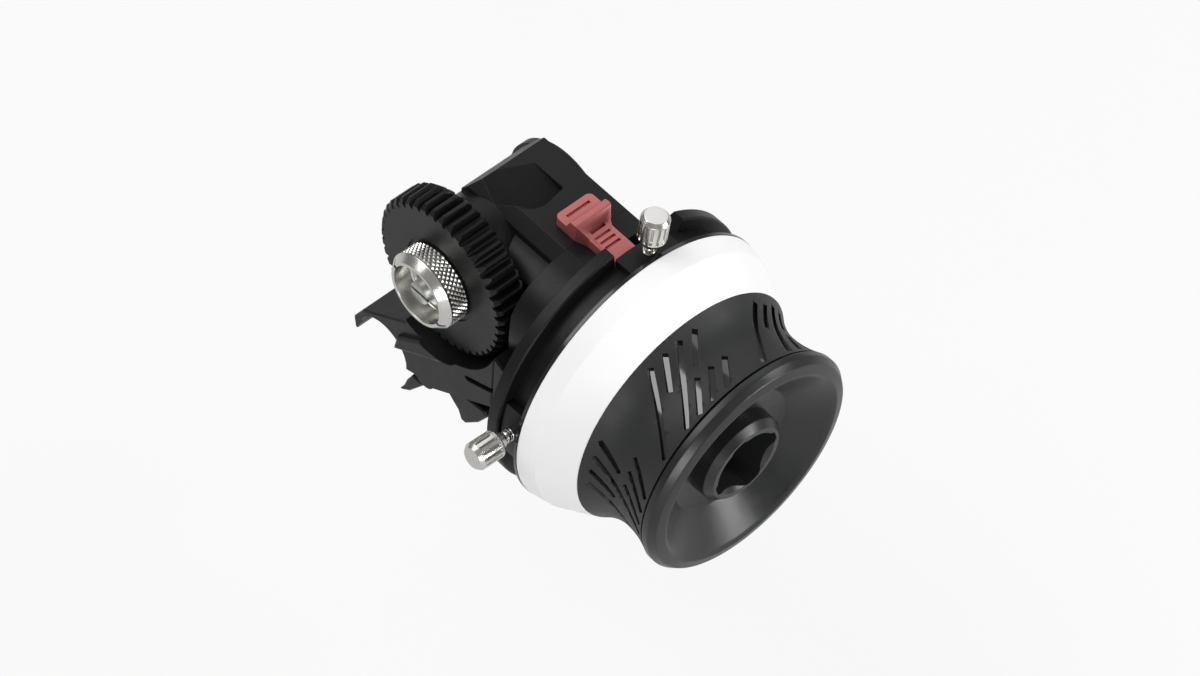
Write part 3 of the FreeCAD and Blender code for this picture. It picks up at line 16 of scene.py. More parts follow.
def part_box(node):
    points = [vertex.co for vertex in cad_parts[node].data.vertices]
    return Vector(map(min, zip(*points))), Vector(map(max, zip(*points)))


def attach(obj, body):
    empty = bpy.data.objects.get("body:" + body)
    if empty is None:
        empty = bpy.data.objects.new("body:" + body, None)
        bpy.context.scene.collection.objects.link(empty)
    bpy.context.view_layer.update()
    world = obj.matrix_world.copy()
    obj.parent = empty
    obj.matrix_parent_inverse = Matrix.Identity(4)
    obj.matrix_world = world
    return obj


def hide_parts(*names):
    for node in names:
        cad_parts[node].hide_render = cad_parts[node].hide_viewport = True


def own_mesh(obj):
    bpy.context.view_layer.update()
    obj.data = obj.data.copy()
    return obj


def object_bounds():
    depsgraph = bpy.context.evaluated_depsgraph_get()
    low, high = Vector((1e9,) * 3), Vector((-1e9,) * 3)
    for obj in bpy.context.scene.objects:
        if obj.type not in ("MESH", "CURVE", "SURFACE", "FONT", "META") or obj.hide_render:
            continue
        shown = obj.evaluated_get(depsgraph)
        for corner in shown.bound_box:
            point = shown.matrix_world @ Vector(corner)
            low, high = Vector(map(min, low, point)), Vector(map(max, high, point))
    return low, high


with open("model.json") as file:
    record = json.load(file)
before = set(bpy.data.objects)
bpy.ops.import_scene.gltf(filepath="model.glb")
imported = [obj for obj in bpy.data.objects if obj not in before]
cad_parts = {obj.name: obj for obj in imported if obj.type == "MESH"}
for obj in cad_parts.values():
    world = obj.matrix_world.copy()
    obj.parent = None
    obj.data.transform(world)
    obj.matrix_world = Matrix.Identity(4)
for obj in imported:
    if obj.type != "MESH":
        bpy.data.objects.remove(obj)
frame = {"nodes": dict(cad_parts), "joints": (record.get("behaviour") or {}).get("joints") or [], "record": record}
CAD_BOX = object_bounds()
NODES = frame["nodes"]
JOINTS = {joint["name"]: joint for joint in frame["joints"]}
MM = 0.001

# %% [markdown]
# ## Where things are
# Everything that turns has an axis in the CAD model's joints, and every piece has a box.  Reading
# them from there keeps the scene fitted to the model.  Sizes below are in millimetres, and one
# function turns them into Blender's metres.

# %% axes of the wheel and of the drive gear
WHEEL_AXIS = Vector(JOINTS["handwheel_spin"]["pos_m"]) / MM
WHEEL_AXIS.x = 0
GEAR_AXIS = Vector(JOINTS["drive_gear_spin"]["pos_m"]) / MM
GEAR_AXIS.y = 0
X_AXIS, Y_AXIS, Z_AXIS = Vector((1, 0, 0)), Vector((0, 1, 0)), Vector((0, 0, 1))
print("wheel axis height %.1f mm, gear axis at x %.1f mm" % (WHEEL_AXIS.z, GEAR_AXIS.x))


def span(node, axis):
    """Where a CAD node starts and ends along X, Y or Z, in millimetres."""
    low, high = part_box(node)
    return low[axis] / MM, high[axis] / MM


# %% [markdown]
# ## Camera
# The camera looks down on the wheel from the operator's side.  It could aim at an empty with a Track
# To constraint; plain angles are chosen because they also fix how far the camera rolls.  A long lens
# keeps the circles of the wheel close to true ellipses.

# %% camera
CAMERA_PLACE = (451.10, -427.96, 795.51)
CAMERA_TURN = (37.732, -2.934, 47.373)
SENSOR, LENS = 36, 150
NEAREST, FARTHEST = 0.01, 20

camera = bpy.data.objects.new("camera", bpy.data.cameras.new("camera"))
bpy.context.scene.collection.objects.link(camera)
camera.location = Vector(CAMERA_PLACE) * MM
camera.rotation_euler = [math.radians(turn) for turn in CAMERA_TURN]
camera.data.sensor_width = SENSOR
camera.data.lens = LENS
camera.data.clip_start = NEAREST
camera.data.clip_end = FARTHEST
bpy.context.scene.camera = camera
print("camera looks from", tuple(round(place, 3) for place in camera.location))

# %% [markdown]
# ## Floor
# One wide pale floor is all the background there is.  A curved backdrop would do as well, but a plain
# floor looks right from every side.  It lies well below the unit, which hangs on a rod when it is
# used, so the shadow on it is wide and soft.

# %% floor
FLOOR_DROP = 45     # mm below the lowest point
FLOOR_SIZE = 6.0    # m from the middle to each side


def plain_floor():
    mesh = bpy.data.meshes.new("floor")
    height = CAD_BOX[0].z - FLOOR_DROP * MM
    corners = [(x * FLOOR_SIZE, y * FLOOR_SIZE, height) for x, y in ((-1, -1), (1, -1), (1, 1), (-1, 1))]
    mesh.from_pydata(corners, [], [(0, 1, 2, 3)])
    floor = bpy.data.objects.new("floor", mesh)
    bpy.context.scene.collection.objects.link(floor)
    return floor


floor = plain_floor()
print("floor at z %.3f m" % floor.data.vertices[0].co.z)

# %% [markdown]
# ## Lamps
# A black part is shown by what it mirrors, so the lamps are large, soft and placed where its faces
# would mirror them.  The key lamp, high on the left, lights everything.  A weak white card behind the
# gear is there for bare metal to mirror.  Two small lamps behind and one in front draw the rims of
# the dial.  An image of a studio could light it too; lamps can be moved one by one.

# %% lamps
LAMPS = (
    # name, place in mm, size in mm, power in watts
    ("key", (-402, -318, 718), (640, 560), 4.1),
    ("card", (-490, 440, 620), (760, 680), 1.5),
    ("rim", (640, 330, 200), (240, 140), 2.5),
    ("back", (390, 545, 460), (160, 120), 1.3),
    ("front", (540, -500, 200), (300, 240), 2.1),
)


def soft_lamp(name, place, size, power):
    data = bpy.data.lights.new(name, "AREA")
    data.shape = "RECTANGLE"
    data.size, data.size_y = size[0] * MM, size[1] * MM
    data.energy = power
    lamp = bpy.data.objects.new(name, data)
    lamp.location = Vector(place) * MM
    target = (CAD_BOX[0] + CAD_BOX[1]) / 2
    lamp.rotation_euler = (target - lamp.location).to_track_quat("-Z", "Y").to_euler()
    bpy.context.scene.collection.objects.link(lamp)


for lamp in LAMPS:
    soft_lamp(*lamp)
print("lamps:", len(LAMPS))

# %% [markdown]
# ## Sky
# The world fills the shadows.  It is brighter above than at the horizon, which keeps upright black
# faces darker than level ones.  In a low view the floor ends and the sky shows, so a Light Path node
# gives the camera a pale sky there, without more light on the object.

# %% sky
SKY_LOW, SKY_HIGH = 0.24, 0.50      # strengths low and high in the sky
LOW_PLACE, HIGH_PLACE = -0.1, 0.9   # the heights of those two, as the Z of the direction
SKY_SEEN = 1.07                     # strength where the camera looks straight at the sky


def pale_sky():
    world = bpy.data.worlds.new("sky")
    bpy.context.scene.world = world
    world.use_nodes = True
    nodes, links = world.node_tree.nodes, world.node_tree.links
    nodes.clear()
    place = nodes.new("ShaderNodeTexCoord")
    split = nodes.new("ShaderNodeSeparateXYZ")
    ramp = nodes.new("ShaderNodeMapRange")
    ramp.inputs["From Min"].default_value = LOW_PLACE
    ramp.inputs["From Max"].default_value = HIGH_PLACE
    ramp.inputs["To Min"].default_value = SKY_LOW
    ramp.inputs["To Max"].default_value = SKY_HIGH
    light = nodes.new("ShaderNodeBackground")
    out = nodes.new("ShaderNodeOutputWorld")
    links.new(place.outputs["Generated"], split.inputs[0])
    links.new(split.outputs["Z"], ramp.inputs["Value"])
    path = nodes.new("ShaderNodeLightPath")
    seen = nodes.new("ShaderNodeMix")
    seen.inputs["B"].default_value = SKY_SEEN
    links.new(path.outputs["Is Camera Ray"], seen.inputs["Factor"])
    links.new(ramp.outputs["Result"], seen.inputs["A"])
    links.new(seen.outputs["Result"], light.inputs["Strength"])
    links.new(light.outputs[0], out.inputs["Surface"])


pale_sky()
bpy.context.scene.view_settings.view_transform = "Standard"
print("view transform:", bpy.context.scene.view_settings.view_transform)

# %% [markdown]
# ## Shared surface effects
# Two effects turn up in more than one finish, so each is a shader node group.  *Grain* is the fine
# orange peel of blasted metal and moulded plastic; its second output is a broad, faint mottle, such as
# fingers leave on dark parts.  *Lathe rings* are the fine circles that a turning tool leaves round an
# axis.  Painted images could give both.  Noise on Object coordinates needs no file and has no seams.

# %% a small helper for shader groups


def shader_group(name, inputs, outputs):
    """An empty node group with float inputs, given with their defaults, and float outputs."""
    group = bpy.data.node_groups.new(name, "ShaderNodeTree")
    for label, value in inputs:
        socket = group.interface.new_socket(label, in_out="INPUT", socket_type="NodeSocketFloat")
        socket.default_value = value
    for label in outputs:
        group.interface.new_socket(label, in_out="OUTPUT", socket_type="NodeSocketFloat")
    source = group.nodes.new("NodeGroupInput")
    sink = group.nodes.new("NodeGroupOutput")
    return group, source, sink


def maths(tree, operation, first, second=None):
    """A Math node in a shader or geometry tree.  Its terms are sockets or numbers.  Returns its output."""
    node = tree.nodes.new("ShaderNodeMath")
    node.operation = operation
    for slot, term in enumerate((first, second)):
        if term is None:
            continue
        if isinstance(term, (int, float)):
            node.inputs[slot].default_value = term
        else:
            tree.links.new(term, node.inputs[slot])
    return node.outputs[0]


print("helpers: shader_group, maths")

# %% grain
MOTTLE_SCALE = 0.06    # the mottle's scale as a share of the grain's


def make_grain():
    group, source, sink = shader_group("grain", (("Scale", 3000.0), ("Depth", 1.0)), ("Height", "Mottle"))
    place = group.nodes.new("ShaderNodeTexCoord")
    fine = group.nodes.new("ShaderNodeTexNoise")
    fine.inputs["Detail"].default_value = 3
    broad = group.nodes.new("ShaderNodeTexNoise")
    group.links.new(place.outputs["Object"], fine.inputs["Vector"])
    group.links.new(place.outputs["Object"], broad.inputs["Vector"])
    group.links.new(source.outputs["Scale"], fine.inputs["Scale"])
    group.links.new(maths(group, "MULTIPLY", source.outputs["Scale"], MOTTLE_SCALE), broad.inputs["Scale"])
    group.links.new(maths(group, "MULTIPLY", fine.outputs[0], source.outputs["Depth"]), sink.inputs["Height"])
    group.links.new(broad.outputs[0], sink.inputs["Mottle"])
    return group


GRAIN = make_grain()
print("group:", GRAIN.name)

# %% lathe rings


def make_lathe_rings():
    """Height of fine circles about the X axis of the vector that comes in."""
    group, source, sink = shader_group("lathe_rings", (("Pitch", 9000.0), ("Depth", 1.0)), ("Height",))
    socket = group.interface.new_socket("Vector", in_out="INPUT", socket_type="NodeSocketVector")
    split = group.nodes.new("ShaderNodeSeparateXYZ")
    group.links.new(source.outputs[socket.name], split.inputs[0])
    square = [maths(group, "MULTIPLY", split.outputs[axis], split.outputs[axis]) for axis in ("Y", "Z")]
    radius = maths(group, "SQRT", maths(group, "ADD", *square))
    along = maths(group, "ADD", radius, split.outputs["X"])
    noise = group.nodes.new("ShaderNodeTexNoise")
    noise.noise_dimensions = "1D"
    noise.inputs["Detail"].default_value = 2
    noise.inputs["Scale"].default_value = 1
    group.links.new(maths(group, "MULTIPLY", along, source.outputs["Pitch"]), noise.inputs["W"])
    height = maths(group, "MULTIPLY", noise.outputs[0], source.outputs["Depth"])
    group.links.new(height, sink.inputs["Height"])
    return group


LATHE_RINGS = make_lathe_rings()
print("group:", LATHE_RINGS.name)

# %% [markdown]
# ## Materials
# One function makes every finish from a Principled shader: its colour, roughness and metal on the
# shader's own sockets, the grain or the lathe rings as bump, and a little of the grain's broad mottle
# in the roughness.  A Bevel node rounds the normals at the sharp edges of CAD pieces, because a real
# edge is never a perfect corner and its thin bright line tells the eye how big the thing is.

# %% one function for every finish
RELIEF = 0.00003       # m, how deep a bump of full strength is
EDGE_SAMPLES = 4


def finish(name, colour, roughness, metal=0.0, grain=(3000.0, 0.5), rings=None, edge=0.25, uneven=0.08,
           bump=0.25, specular=0.5):
    """A material.  Grain is (scale, depth), rings (pitch, depth, axis point in mm, turn about Z in
    degrees) or None, edge the radius of softened edges in mm, uneven the mottle in the roughness."""
    material = bpy.data.materials.new(name)
    material.use_nodes = True
    tree = material.node_tree
    shader = tree.nodes["Principled BSDF"]
    shader.inputs["Base Color"].default_value = (*colour, 1)
    shader.inputs["Metallic"].default_value = metal
    shader.inputs["Specular IOR Level"].default_value = specular
    surface = tree.nodes.new("ShaderNodeGroup")
    surface.node_tree = GRAIN
    surface.inputs["Scale"].default_value = grain[0]
    surface.inputs["Depth"].default_value = grain[1]
    height = surface.outputs["Height"]
    if rings is not None:
        pitch, depth, centre, turn = rings
        place = tree.nodes.new("ShaderNodeTexCoord")
        shift = tree.nodes.new("ShaderNodeMapping")
        shift.vector_type = "TEXTURE"
        shift.inputs["Location"].default_value = centre * MM
        shift.inputs["Rotation"].default_value = (0, 0, math.radians(turn))
        circles = tree.nodes.new("ShaderNodeGroup")
        circles.node_tree = LATHE_RINGS
        circles.inputs["Pitch"].default_value = pitch
        circles.inputs["Depth"].default_value = depth
        tree.links.new(place.outputs["Object"], shift.inputs["Vector"])
        tree.links.new(shift.outputs[0], circles.inputs["Vector"])
        height = maths(tree, "ADD", height, circles.outputs["Height"])
    relief = tree.nodes.new("ShaderNodeBump")
    relief.inputs["Strength"].default_value = bump
    relief.inputs["Distance"].default_value = RELIEF
    tree.links.new(height, relief.inputs["Height"])
    if edge:
        soft = tree.nodes.new("ShaderNodeBevel")
        soft.samples = EDGE_SAMPLES
        soft.inputs["Radius"].default_value = edge * MM
        tree.links.new(soft.outputs[0], relief.inputs["Normal"])
    tree.links.new(relief.outputs[0], shader.inputs["Normal"])
    spread = maths(tree, "MULTIPLY", maths(tree, "SUBTRACT", surface.outputs["Mottle"], 0.5), uneven * 2)
    tree.links.new(maths(tree, "ADD", spread, roughness), shader.inputs["Roughness"])
    return material


print("helper: finish")

# %% [markdown]
# ### The finishes of this object
# The housing and the collar are aluminium, blasted and dyed black; the dial and the hub are turned
# and then dyed, so they keep fine rings.  The gear is moulded plastic, the grip is rubber and the
# disc is matt white, to be written on.  The latch is dyed red.  The nut and the thumbscrews are
# nickel.  Black finishes differ mainly in how sharp and how strong their shine is, so the roughness
# and the specular level do the work, and the colours stay near black.

# %% finishes
WHEEL_RINGS = (26000.0, 0.8, WHEEL_AXIS, 0.0)
GEAR_RINGS = (26000.0, 1.0, GEAR_AXIS, 90.0)

FINISHES = {
    "black_anodised": finish("blasted black anodising", (0.009, 0.009, 0.0095), 0.36, 0.0, (5200.0, 0.9),
                             specular=0.17),
    "black_satin": finish("turned black satin", (0.012, 0.0125, 0.013), 0.32, 0.0, (6000.0, 0.2),
                          WHEEL_RINGS, bump=0.12, specular=0.4),
    "gear_plastic": finish("moulded black plastic", (0.008, 0.0085, 0.0085), 0.34, 0.0, (2600.0, 0.5),
                           edge=0.12, specular=0.2),
    "black_rubber": finish("black rubber", (0.018, 0.0185, 0.019), 0.5, 0.0, (4200.0, 0.8), edge=0.1,
                           specular=0.32),
    "white_plastic": finish("matt white plastic", (0.86, 0.86, 0.86), 0.5, 0.0, (2500.0, 0.1), edge=0,
                            bump=0.05),
    "red_anodised": finish("red anodising", (0.45, 0.11, 0.105), 0.36, 0.25, (5200.0, 0.7), edge=0,
                           specular=0.8),
    "nickel_plate": finish("turned nickel", (0.62, 0.61, 0.585), 0.2, 1.0, (4000.0, 0.1), GEAR_RINGS,
                           edge=0.1, bump=0.2),
    "satin_steel": finish("satin steel", (0.46, 0.46, 0.44), 0.34, 1.0, (4000.0, 0.2), edge=0.1),
    "bevel_steel": finish("cut steel", (0.42, 0.41, 0.40), 0.35, 1.0, (3000.0, 0.4), edge=0.1),
    "bush_bronze": finish("sintered bronze", (0.46, 0.27, 0.12), 0.45, 1.0, (7000.0, 0.8), edge=0.1),
    "spring_steel": finish("spring steel", (0.50, 0.50, 0.49), 0.3, 1.0, (3000.0, 0.1), edge=0),
    "black_screw": finish("blackened screw", (0.035, 0.035, 0.036), 0.32, 0.7, (4000.0, 0.2), edge=0.1),
}
CORE_GLOSS = finish("glossy black core", (0.010, 0.010, 0.011), 0.1, 0.0, (900.0, 0.05), edge=0, bump=0.03)
print("finishes:", len(FINISHES) + 1)

# %% [markdown]
# ### Slot floors
# The lacquered core shows as bright bars in the sleeve's slots, because each floor mirrors the key
# lamp.  The floors follow the waist in steps that are too fine to model.  Instead the normal is worked
# out in the material: the position without its part along the axis, made one long.

# %% slot floors


def slot_floors():
    """Lacquer whose normal is the one straight out from the wheel's axis."""
    material = finish("lacquered slot floor", (0.010, 0.010, 0.011), 0.08, edge=0, specular=1.0)
    tree = material.node_tree
    place = tree.nodes.new("ShaderNodeTexCoord")
    shift = tree.nodes.new("ShaderNodeMapping")
    shift.inputs["Location"].default_value = -WHEEL_AXIS * MM
    outward = tree.nodes.new("ShaderNodeVectorMath")
    outward.operation = "MULTIPLY"
    outward.inputs[1].default_value = (0, 1, 1)
    unit = tree.nodes.new("ShaderNodeVectorMath")
    unit.operation = "NORMALIZE"
    tree.links.new(place.outputs["Object"], shift.inputs["Vector"])
    tree.links.new(shift.outputs[0], outward.inputs[0])
    tree.links.new(outward.outputs[0], unit.inputs[0])
    tree.links.new(unit.outputs[0], tree.nodes["Principled BSDF"].inputs["Normal"])
    return material


SLOT_FLOOR = slot_floors()
print("finish:", SLOT_FLOOR.name)

# %% [markdown]
# ### The pale floor
# Lit card alone would need so much light that the object turned pale too.  So the camera sees a card
# that is mostly white by itself, through a Light Path node, while the light that falls on it still
# draws the shadow.  Mirrors see only a part of that white.

# %% pale floor
OWN_WHITE = 0.85    # share of the card's white that is its own where the camera sees it
MIRRORED = 0.2      # share of that in what a mirror shows


def pale_floor():
    """Matt pale card that is partly white by itself."""
    material = finish("pale floor", (0.60, 0.60, 0.60), 0.9, edge=0, bump=0)
    tree = material.node_tree
    rays = tree.nodes.new("ShaderNodeLightPath").outputs
    seen = maths(tree, "MAXIMUM", rays["Is Camera Ray"], rays["Is Transmission Ray"])
    seen = maths(tree, "MAXIMUM", seen, maths(tree, "MULTIPLY", rays["Is Glossy Ray"], MIRRORED))
    glow = tree.nodes.new("ShaderNodeEmission")
    glow.inputs["Color"].default_value = (1, 1, 1, 1)
    mix = tree.nodes.new("ShaderNodeMixShader")
    tree.links.new(maths(tree, "MULTIPLY", seen, OWN_WHITE), mix.inputs[0])
    tree.links.new(tree.nodes["Principled BSDF"].outputs[0], mix.inputs[1])
    tree.links.new(glow.outputs[0], mix.inputs[2])
    tree.links.new(mix.outputs[0], tree.nodes["Material Output"].inputs["Surface"])
    return material


floor.data.materials.append(pale_floor())
print("finish:", floor.data.materials[0].name)

# %% [markdown]
# ### Finishes for the CAD pieces
# The CAD model's record names a finish for each of its nodes.  Reading it there keeps both files in
# step.  Only the wheel's core is painted apart, since it is glossy where its slots show it.

# %% give every CAD node its finish
SLOT_OF = {part["node"]: part["material_slot"] for part in frame["record"]["subparts"]}


def paint(thing, material):
    thing.data.materials.clear()
    thing.data.materials.append(material)


for name, thing in NODES.items():
    paint(thing, FINISHES[SLOT_OF[name]])
paint(NODES["wheel_core"], CORE_GLOSS)
print("painted:", len(NODES))

# %% [markdown]
# ## Turned pieces
# Most of this object comes off a lathe, so most of the finer pieces are made the way a lathe works:
# an outline of place along the axis and radius is swept round the axis.  Each corner of the outline
# may carry a fillet, drawn as a short curve.  That soft edge is what catches the light.

# %% a small lathe
SIDE_SHARE = 0.48    # the most of a side that one fillet may take


def rounded(outline, steps=6):
    """Corners (along, radius, fillet) with every fillet drawn as a short curve."""
    points = []
    for index, (along, radius, fillet) in enumerate(outline):
        here = Vector((along, radius))
        before = Vector(outline[index - 1][:2]) - here
        after = Vector(outline[(index + 1) % len(outline)][:2]) - here
        if not fillet:
            points.append(here)
            continue
        reach = fillet / math.tan(before.angle(after) / 2)
        start = here + before.normalized() * min(reach, before.length * SIDE_SHARE)
        end = here + after.normalized() * min(reach, after.length * SIDE_SHARE)
        for step in range(steps + 1):
            share = step / steps
            points.append(start * (1 - share) ** 2 + here * 2 * share * (1 - share) + end * share ** 2)
    return points


def linked(name, mesh):
    thing = bpy.data.objects.new(name, mesh)
    bpy.context.scene.collection.objects.link(thing)
    return thing


def turned(name, outline, centre, axis, steps=192, sharp=28):
    """A closed solid of revolution.  Outline and centre are in millimetres."""
    points = rounded(outline)
    across = X_AXIS if abs(axis.z) > 0.9 else Z_AXIS.cross(axis).normalized()
    upward = axis.cross(across)
    shape = bmesh.new()
    rings = []
    for step in range(steps):
        angle = 2 * math.pi * step / steps
        side = across * math.cos(angle) + upward * math.sin(angle)
        rings.append([shape.verts.new((centre + axis * p.x + side * p.y) * MM) for p in points])
    for step in range(steps):
        first, second = rings[step], rings[(step + 1) % steps]
        for index, point in enumerate(points):
            after = (index + 1) % len(points)
            if point.y or points[after].y:
                shape.faces.new((first[index], first[after], second[after], second[index]))
    bmesh.ops.remove_doubles(shape, verts=shape.verts, dist=1e-8)
    bmesh.ops.recalc_face_normals(shape, faces=shape.faces)
    mesh = bpy.data.meshes.new(name)
    shape.to_mesh(mesh)
    shape.free()
    return softened(linked(name, mesh), sharp)


def softened(thing, sharp=28):
    """Smooth shading with a crease wherever faces meet at more than the angle."""
    thing.data.shade_smooth()
    thing.data.set_sharp_from_angle(angle=math.radians(sharp))
    return thing


def fitted(thing, body, slot, instead=()):
    """Give a finished piece its finish, the body it moves with and the nodes it stands for."""
    paint(thing, FINISHES[slot])
    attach(thing, body)
    if instead:
        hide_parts(*instead)
    print("%-18s %6d faces" % (thing.name, len(thing.data.polygons)))
    return thing


print("helpers: rounded, linked, turned, softened, fitted")

# %% [markdown]
# ### The marking disc
# A plain disc of matt white plastic with two cones.  Focus marks are written on it in pencil, so it
# has no gloss and no print.  A cylinder with bevels could be pulled into this shape; the lathe takes
# the real radii and gives each corner a fillet of its own.

# %% marking disc
DISC_BACK, DISC_FRONT = span("marking_disc", 0)
DRUM = 22.4    # radius of the wheel's drum, on which the disc and the sleeve sit
disc = turned("disc_skin", (    # each corner: along the axis, radius, fillet
    (DISC_BACK, DRUM, 0), (DISC_BACK, 31.7, 0.3), (DISC_BACK + 4.4, 30.8, 0.8),
    (DISC_FRONT, 27.1, 0.35), (DISC_FRONT, DRUM, 0),
), WHEEL_AXIS, X_AXIS, steps=256)
fitted(disc, "handwheel", "white_plastic", instead=("marking_disc",))

# %% [markdown]
# ### The front dial
# A turned ring with a deep dish.  Light shows three things on it: the rim with its bevel, the soft
# lip where the dish begins, and the cone that runs down to a step round the hub.  All of them are
# corners of one outline, so each can be moved on its own.

# %% front dial
DIAL_SEAT, DIAL_FRONT = span("front_dial", 0)
DIAL_BACK = DIAL_FRONT - 3.9    # the rim is 3.9 mm thick
HUB = 9.9                       # radius of the hole for the hub
dial = turned("dial_skin", (
    (DIAL_SEAT, HUB, 0), (DIAL_SEAT, 20.0, 0), (DIAL_BACK, 20.0, 0), (DIAL_BACK, 24.5, 0.1),
    (DIAL_BACK + 0.5, 24.5, 0.1), (DIAL_BACK + 0.5, 25.4, 0.3), (DIAL_BACK + 2.0, 25.4, 0.5),
    (DIAL_BACK + 3.4, 24.4, 0.5), (DIAL_FRONT, 22.3, 0.6), (DIAL_FRONT - 0.5, 21.4, 1.0),
    (DIAL_FRONT - 5.5, 14.9, 0.6), (DIAL_FRONT - 6.0, 14.3, 0.3), (DIAL_FRONT - 6.0, HUB, 0),
), WHEEL_AXIS, X_AXIS, steps=256)
fitted(dial, "handwheel", "black_satin", instead=("front_dial",))

# %% [markdown]
# ### The grip sleeve
# A thin skin of black rubber is moulded over a glossy black liner, and slots in the rubber show the
# liner.  The CAD solid already has the slots.  A welded copy of it is cut across into narrow bands,
# so that its corners can follow a curve, and is then drawn out: flared towards the disc, and only as
# thick as the rubber.  The liner is turned to the same curve.

# %% welded copies of CAD nodes


def welded(node):
    """A copy of a CAD node whose loose triangles are joined, for further work."""
    copy = linked(node + "_skin", NODES[node].data.copy())
    shape = bmesh.new()
    shape.from_mesh(copy.data)
    bmesh.ops.remove_doubles(shape, verts=shape.verts, dist=1e-7)
    shape.to_mesh(copy.data)
    shape.free()
    return copy


print("helper: welded")

# %% grip sleeve
SLEEVE_BACK, SLEEVE_FRONT = span("grip_sleeve", 0)
SLEEVE_LENGTH = SLEEVE_FRONT - SLEEVE_BACK
WAIST_X = SLEEVE_BACK + SLEEVE_LENGTH * 0.53
WAIST, BOW = 23.7, 20.0     # radius at the waist, and of the arc that makes it
FLARE, RUBBER = 1.5, 0.6    # how far the edge is drawn out, and the rubber's thickness
BANDS = 14


def plain_radius(x):
    """Outer radius of the CAD sleeve, whose waist is an arc of the radius BOW."""
    return WAIST + BOW - math.sqrt(BOW ** 2 - (x - WAIST_X) ** 2)


def flared_radius(x):
    return plain_radius(x) + FLARE * (max(WAIST_X - x, 0) / (WAIST_X - SLEEVE_BACK)) ** 2


def grip_sleeve():
    sleeve = welded("grip_sleeve")
    shape = bmesh.new()
    shape.from_mesh(sleeve.data)
    for band in range(1, BANDS):
        cut = Vector((SLEEVE_BACK + SLEEVE_LENGTH * band / BANDS, 0, 0)) * MM
        everything = [*shape.verts, *shape.edges, *shape.faces]
        bmesh.ops.bisect_plane(shape, geom=everything, plane_co=cut, plane_no=X_AXIS, dist=1e-7)
    for vertex in shape.verts:
        place = vertex.co / MM - WHEEL_AXIS
        along = Vector((place.x, 0, 0))
        radius = (place - along).length
        share = (radius - DRUM) / (plain_radius(place.x) - DRUM)
        drawn = flared_radius(place.x) - RUBBER * (1 - share)
        vertex.co = (WHEEL_AXIS + along + (place - along) * (drawn / radius)) * MM
    shape.to_mesh(sleeve.data)
    shape.free()
    return softened(sleeve, 40)


fitted(grip_sleeve(), "handwheel", "black_rubber", instead=("grip_sleeve",))

# %% liner
INSET, CLEARANCE = 0.1, 0.03    # at the liner's ends, and between the liner and the rubber
curve = [SLEEVE_BACK + INSET + (SLEEVE_LENGTH - 2 * INSET) * step / BANDS for step in range(BANDS + 1)]
surface = [(x, flared_radius(x) - RUBBER - CLEARANCE, 0) for x in curve]
liner = turned("grip_liner", ((curve[0], DRUM, 0), *surface, (curve[-1], DRUM, 0)), WHEEL_AXIS, X_AXIS)
paint(fitted(liner, "handwheel", "black_anodised"), SLOT_FLOOR)

# %% [markdown]
# ## Geometry Nodes for what repeats
# Knurls, flutes and threads are one small form many times over.  An Array modifier could repeat them,
# but a node tree with named inputs can be tried with other numbers at once.  Every tree works about
# its own Z axis.  It runs once, its result is kept as a plain mesh, and the mesh is then carried to
# its place.

# %% helpers for geometry trees
FLOAT, COUNT, MATERIAL = "NodeSocketFloat", "NodeSocketInt", "NodeSocketMaterial"


def geometry_tree(name, inputs):
    """An empty geometry tree.  Inputs are (label, socket type, default)."""
    tree = bpy.data.node_groups.new(name, "GeometryNodeTree")
    tree.interface.new_socket("Geometry", in_out="INPUT", socket_type="NodeSocketGeometry")
    for label, kind, value in inputs:
        socket = tree.interface.new_socket(label, in_out="INPUT", socket_type=kind)
        if value is not None:
            socket.default_value = value
    tree.interface.new_socket("Geometry", in_out="OUTPUT", socket_type="NodeSocketGeometry")
    return tree, tree.nodes.new("NodeGroupInput").outputs, tree.nodes.new("NodeGroupOutput")


def node_of(tree, kind, **wires):
    """Add a node.  Each wire is an input's name with a socket or a value for it."""
    node = tree.nodes.new(kind)
    for label, term in wires.items():
        slot = node.inputs[label.replace("_", " ")]
        if isinstance(term, bpy.types.NodeSocket):
            tree.links.new(term, slot)
        else:
            slot.default_value = term
    return node


def close_tree(tree, geometry, source, sink):
    """Realize what was instanced, give it its material and hand it out."""
    real = node_of(tree, "GeometryNodeRealizeInstances", Geometry=geometry)
    dress = node_of(tree, "GeometryNodeSetMaterial", Geometry=real.outputs[0], Material=source["Material"])
    tree.links.new(dress.outputs[0], sink.inputs["Geometry"])


print("helpers: geometry_tree, node_of, close_tree")

# %% helpers that keep a result


def evaluated(thing):
    """The mesh that the piece's modifiers make, as a mesh of its own."""
    bpy.context.view_layer.update()
    return bpy.data.meshes.new_from_object(thing.evaluated_get(bpy.context.evaluated_depsgraph_get()))


def grown(thing, tree, values):
    """Run a tree once on a piece and keep what it makes."""
    growth = thing.modifiers.new("growth", "NODES")
    growth.node_group = tree
    for item in tree.interface.items_tree:
        if item.in_out == "INPUT" and item.name in values:
            growth[item.identifier] = values[item.name]
    result = evaluated(thing)
    thing.modifiers.remove(growth)
    thing.data = result
    return thing


def carried(thing, origin, axis):
    """Lay the mesh's own Z along the axis and move its own origin to the place, in millimetres."""
    turn = axis.to_track_quat("Z", "Y").to_matrix().to_4x4()
    thing.data.transform(Matrix.Translation(origin * MM) @ turn)
    return thing


print("helpers: evaluated, grown, carried")

# %% helpers that carve


def carved(thing, *tools):
    """Take closed tools out of a closed piece, as a mill would."""
    for tool in tools:
        step = thing.modifiers.new("carve", "BOOLEAN")
        step.operation = "DIFFERENCE"
        step.solver = "EXACT"
        step.object = tool
    result = evaluated(thing)
    thing.modifiers.clear()
    thing.data = result
    for tool in tools:
        bpy.data.objects.remove(tool)
    return softened(thing)


